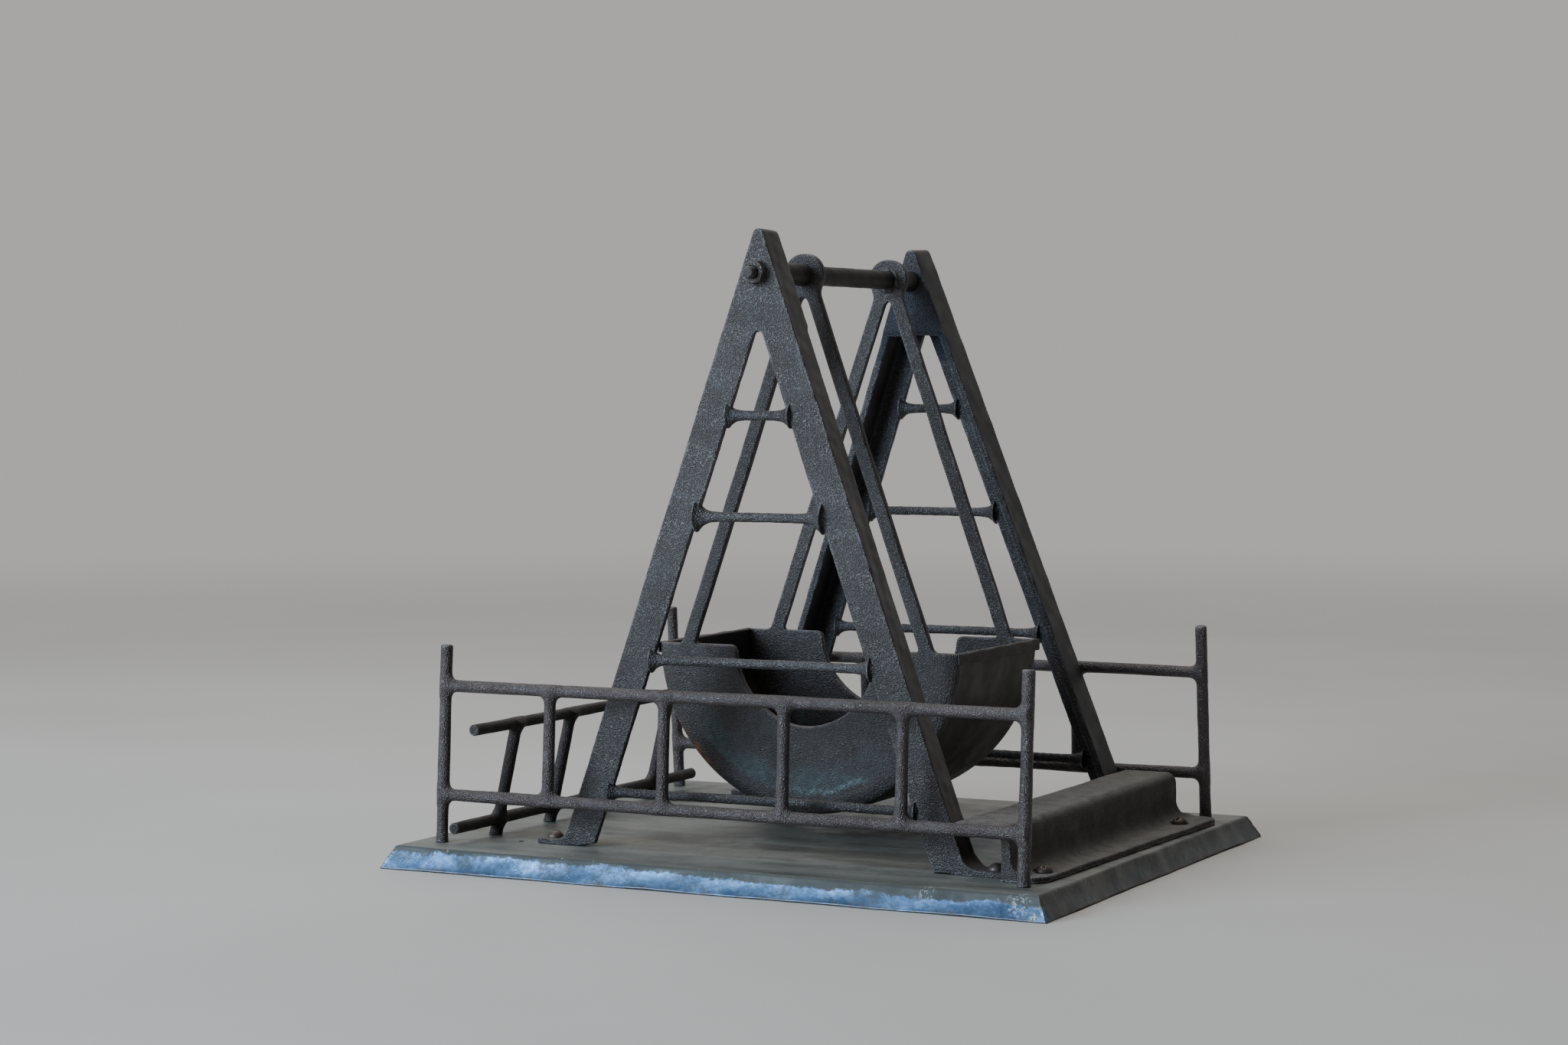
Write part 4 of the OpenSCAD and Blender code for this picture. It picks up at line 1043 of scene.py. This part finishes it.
# painted shade: the rear frame is a darker, bluer copy of the front casting, with a dark navy painted shadow band below
# the tube
M_FRAME_SHADED = cast_iron("frame_casting_rear_shaded", (0.044, 0.042, 0.044), (0.064, 0.062, 0.066), (0.096, 0.100, 0.116), face_only=True, dust=0.25, peel=1.0, rough=(0.36, 0.52), metallic=0.25, spec=0.5,
                       darker_low=(0.25, 0.05, 0.5), shade=(0.262, 0.298, 0.72))
M_RUNG = cast_iron("rung_weld", (0.048, 0.043, 0.044), (0.070, 0.064, 0.066), (0.105, 0.106, 0.118), peel=0.8, rough=(0.28, 0.44), metallic=0.35, wear=0.6, darker_low=(0.075, 0.035, 0.7))
M_HANGER = cast_iron("hanger_casting", (0.042, 0.036, 0.034), (0.060, 0.053, 0.052), (0.082, 0.080, 0.087), face_only=True, peel=0.9, rough=(0.36, 0.54), metallic=0.2,
                     patina=((0.052, 0.076, 0.080), AX / 1000, RIM_Z / 1000, 0.0655, 0.0762, 0.62), rust=0.4, dust=0.15)
M_SHELL = worn_sheet("hull_sheet", (0.029, 0.025, 0.023), (0.044, 0.037, 0.034))
M_STRIP = cast_iron("rim_strip_iron", (0.040, 0.035, 0.033), (0.058, 0.051, 0.049), (0.076, 0.074, 0.076), peel=1.0, dust=0.2)
M_RAIL = cast_iron("railing_iron", (0.056, 0.044, 0.042), (0.078, 0.063, 0.061), (0.106, 0.098, 0.104), peel=0.9, peel_wl=1.1, dust=0.08, wear=0.6, rough=(0.28, 0.44), metallic=0.25, spec=0.6)
M_FENCE = cast_iron("fence_iron", (0.024, 0.021, 0.020), (0.036, 0.031, 0.029), (0.050, 0.046, 0.044), peel=0.7, peel_wl=1.05, dust=0.2)
M_SILL = cast_iron("sill_iron", (0.042, 0.035, 0.032), (0.060, 0.050, 0.046), (0.080, 0.072, 0.068), peel=0.8, dust=0.8, dust_col=(0.165, 0.158, 0.147), rough=(0.45, 0.62), foot=TRAY_H / 1000)
M_TUBE = dark_bar("axle_steel", (0.0125, 0.011, 0.0102), rough=(0.48, 0.62), metallic=0.1)
M_BOLT = cast_iron("bolt_worn", (0.050, 0.041, 0.036), (0.078, 0.068, 0.060), (0.115, 0.112, 0.112), peel=0.55, peel_wl=0.9, rust=0.5, metallic=0.4, wear=0.7)
M_NUT = cast_iron("nut_worn", (0.066, 0.054, 0.046), (0.125, 0.116, 0.108), (0.215, 0.222, 0.240), peel=1.25, peel_wl=1.25, rust=0.4, rough=(0.30, 0.44), metallic=0.45, wear=0.9)
M_ZINC = zinc("weathered_zinc")
M_SCREW = screw_mat("screw_steel", (0.060, 0.050, 0.044), (0.105, 0.085, 0.070), 0.55)
M_NUTS = screw_mat("small_nut_steel", (0.10, 0.095, 0.09), (0.17, 0.165, 0.155), 0.25)

# ------------------------------------------------------------------ pieces
piece("a_frame_front", a_frame(0), M_FRAME, "stand", ["front_a_frame"])
piece("a_frame_rear", a_frame(1), M_FRAME_SHADED, "stand", ["rear_a_frame"])
piece("rungs_front", rungs(0, (223.8, 172.4, 98.4, 29.2), 5), M_RUNG, "stand", ["front_rungs"])
piece("rungs_rear", rungs(1, (225.3, 167.4, 100.4, 31.0), 6), M_RUNG, "stand", ["rear_rungs"])
piece("hanger_plate_front", hanger(True), M_HANGER, "gondola", ["front_hanger"])
piece("hanger_plate_rear", hanger(False), M_HANGER, "gondola", ["rear_hanger"])
piece("gondola_hull", gondola_shell(), M_SHELL, "gondola", ["gondola_shell"])
piece("gondola_rim_strips", rim_strips(), M_STRIP, "gondola", ["rim_strips"])

uneven = lambda Y, T: 0.05 * np.sin(Y * 0.21 + T) + 0.04 * np.sin(Y * 0.57 + 2 * T + 1)
piece("swing_tube_bar", lathe_y(ends(HF - 0.1, HR + 0.1, TUBE_D / 2, 0.6, 1.5), 64, AX, AXZ, uneven), M_TUBE, "gondola", ["swing_tube"])
sp = [lathe_y(ends(a, b, SPACER_D / 2, 0.9, 1.5), 64, AX, AXZ, uneven)
      for a, b in ((-TOP[0] + BLOCK_D[0] + 0.3, HF - 0.4), (HR + 0.4, TOP[1] - BLOCK_D[1] - 0.3))]
piece("axle_spacers", (np.concatenate([sp[0][0], sp[1][0]]), sp[0][1] + [tuple(v + len(sp[0][0]) for v in q) for q in sp[1][1]]),
      M_TUBE, "stand", ["outer_spacers"])
b0, b1 = -TOP[0] - STUB, TOP[1] + STUB
bolt = ends(b0, -TOP[0] - 0.5, BOLT_D / 2, 0.7, 0.16)[:-6] + [(y, BOLT_D / 2) for y in np.linspace(-TOP[0] - 0.4, TOP[1] + 0.4, 60)] + ends(TOP[1] + 0.5, b1, BOLT_D / 2, 0.7, 0.16)[6:]
piece("axle_bolt", lathe_y(bolt, 56, AX, AXZ, thread(-TOP[0] - 0.5, TOP[1] + 0.5)), M_BOLT, "stand", ["through_bolt"])
piece("axle_nuts", join_parts([nut(True), nut(False)]), M_NUT, "stand", ["bolt_nuts"])

piece("railing_front", railing(-129.8, 3.5, 1, 103.6, 82.0, 25.0, (-101.3, -33.6, 34.7, 99.9), 201), M_RAIL, "stand",
      ["front_posts", "front_top_rail", "front_bottom_rail", "front_balusters"])
piece("railing_rear", railing(125.8, 4.5, -1, 107.6, 81.6, 25.6, (-104.0, -39.0, 26.0, 91.0), 231), M_RAIL, "stand",
      ["rear_posts", "rear_top_rail", "rear_bottom_rail", "rear_balusters"])
piece("fence_side", side_fence(), M_FENCE, "stand", ["fence_posts", "fence_top_rail", "fence_bottom_rail"])
piece("sill_casting", sill(), M_SILL, "stand", ["side_sill"])

ang = dict(zip(SCREWS_TAB, (35, 80, 20, 130)))
piece("tab_screws", join_parts([screw(x, y, TRAY_H + TAB_T, ang[(x, y)], 8.5, 301 + i) for i, (x, y) in enumerate(SCREWS_TAB)]),
      M_SCREW, "stand", ["frame_screws"])
piece("sill_screw_pair", join_parts([screw(x, y, TRAY_H + SILL_T, a, 8.7, 321 + i) for i, ((x, y), a) in enumerate(zip(SCREWS_SILL, (110, 75)))]),
      M_SCREW, "stand", ["sill_screws"])

# the tray: a thin folded sheet, with its empty screw hole
piece("tray_sheet", tray(), M_ZINC, "stand", ["base_tray"])

for n in ("screw_nuts", "post_nuts"):
    frame["nodes"][n].data.materials.clear()
    frame["nodes"][n].data.materials.append(M_NUTS)

# ------------------------------------------------------------------ stage
# a plain flat floor, which fades into the backdrop's colour a few metres away
SKY_A, SKY_B = (0.47, 0.46, 0.445), (0.060, 0.057, 0.055)
bm = bmesh.new()
bmesh.ops.create_grid(bm, x_segments=2, y_segments=2, size=8.0)
me = bpy.data.meshes.new("floor")
bm.to_mesh(me)
bm.free()
floor = bpy.data.objects.new("floor", me)
floor.location = (0, 0, -0.0002)
bpy.context.scene.collection.objects.link(floor)
fm = Mat("floor_paint", specular=0.3)
me.materials.append(fm.done(fm.mix(fm.rng(fm.noise(3.0, 3.0, 0.5), 0.3, 0.7), (0.50, 0.485, 0.46), (0.54, 0.525, 0.50)), 0.55))
dist = fm.t.nodes.new("ShaderNodeVectorMath")
dist.operation = "LENGTH"
fm.put(dist.inputs[0], fm.co)
unit = fm.t.nodes.new("ShaderNodeVectorMath")
unit.operation = "NORMALIZE"
fm.put(unit.inputs[0], fm.co)
ux = fm.axis(unit.outputs[0])
haze = fm.t.nodes.new("ShaderNodeEmission")
fm.put(haze.inputs["Color"], fm.mix(fm.rng(fm.op("MULTIPLY_ADD", ux[1], -0.25, ux[0]), -0.25, 0.75), SKY_A, SKY_B))
both = fm.t.nodes.new("ShaderNodeMixShader")
fm.put(both.inputs[0], fm.rng(dist.outputs["Value"], 0.7, 3.2))
fm.put(both.inputs[1], fm.b.outputs[0])
fm.put(both.inputs[2], haze.outputs[0])
fm.put(fm.out.inputs[0], both.outputs[0])
floor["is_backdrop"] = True

world = bpy.data.worlds.new("studio")
bpy.context.scene.world = world
world.use_nodes = True
wt = world.node_tree
bg = wt.nodes["Background"]
tc = wt.nodes.new("ShaderNodeTexCoord")
sx = wt.nodes.new("ShaderNodeSeparateXYZ")
wt.links.new(tc.outputs["Generated"], sx.inputs[0])
side = wt.nodes.new("ShaderNodeMath")
side.operation = "MULTIPLY_ADD"
wt.links.new(sx.outputs[1], side.inputs[0])
side.inputs[1].default_value = -0.25
wt.links.new(sx.outputs[0], side.inputs[2])
mr = wt.nodes.new("ShaderNodeMapRange")
mr.interpolation_type = "SMOOTHSTEP"
wt.links.new(side.outputs[0], mr.inputs["Value"])
mr.inputs["From Min"].default_value, mr.inputs["From Max"].default_value = -0.25, 0.75
mx = wt.nodes.new("ShaderNodeMix")
mx.data_type = "RGBA"
wt.links.new(mr.outputs[0], mx.inputs["Factor"])
ca, cb = [k for k in mx.inputs if k.type == "RGBA"]
ca.default_value, cb.default_value = (*SKY_A, 1), (*SKY_B, 1)
wt.links.new([k for k in mx.outputs if k.type == "RGBA"][0], bg.inputs[0])
bg.inputs[1].default_value = 1.0


def area(name, loc, target, size, power, col, spread=180):
    l = bpy.data.lights.new(name, "AREA")
    l.shape, l.size, l.size_y, l.energy, l.color = "RECTANGLE", size[0], size[1], power, col
    l.spread = math.radians(spread)
    o = bpy.data.objects.new(name, l)
    bpy.context.scene.collection.objects.link(o)
    o.location = loc
    o.rotation_euler = (Vector(target) - Vector(loc)).to_track_quat("-Z", "Y").to_euler()
    return o


area("window", (-1.15, -2.1, 0.85), (0, 0, 0.12), (1.2, 1.4), 78, (0.64, 0.81, 1.0))
area("top", (-0.5, 0.3, 1.9), (0, 0, 0.1), (1.4, 1.2), 20, (1.0, 0.98, 0.94))

cam = bpy.data.cameras.new("camera")
cam.lens, cam.sensor_width, cam.sensor_fit = 71.914, 36.0, "HORIZONTAL"
cam.clip_start, cam.clip_end = 0.05, 50
co = bpy.data.objects.new("camera", cam)
bpy.context.scene.collection.objects.link(co)
R, U, K = (0.8884212, 0.45901737, -0.00329013), (-0.01828395, 0.04254838, 0.99892709), (0.45866487, -0.88740785, 0.04619353)
P = (0.74619, -1.50109, 0.25509)
co.matrix_world = Matrix([[R[i], U[i], K[i], P[i]] for i in range(3)] + [[0, 0, 0, 1]])
bpy.context.scene.camera = co

bpy.context.view_layer.update()
box1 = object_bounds()
plain = lambda b: [[float(v) for v in c] for c in b]
{"cad": plain(box0), "visual": plain(box1)}
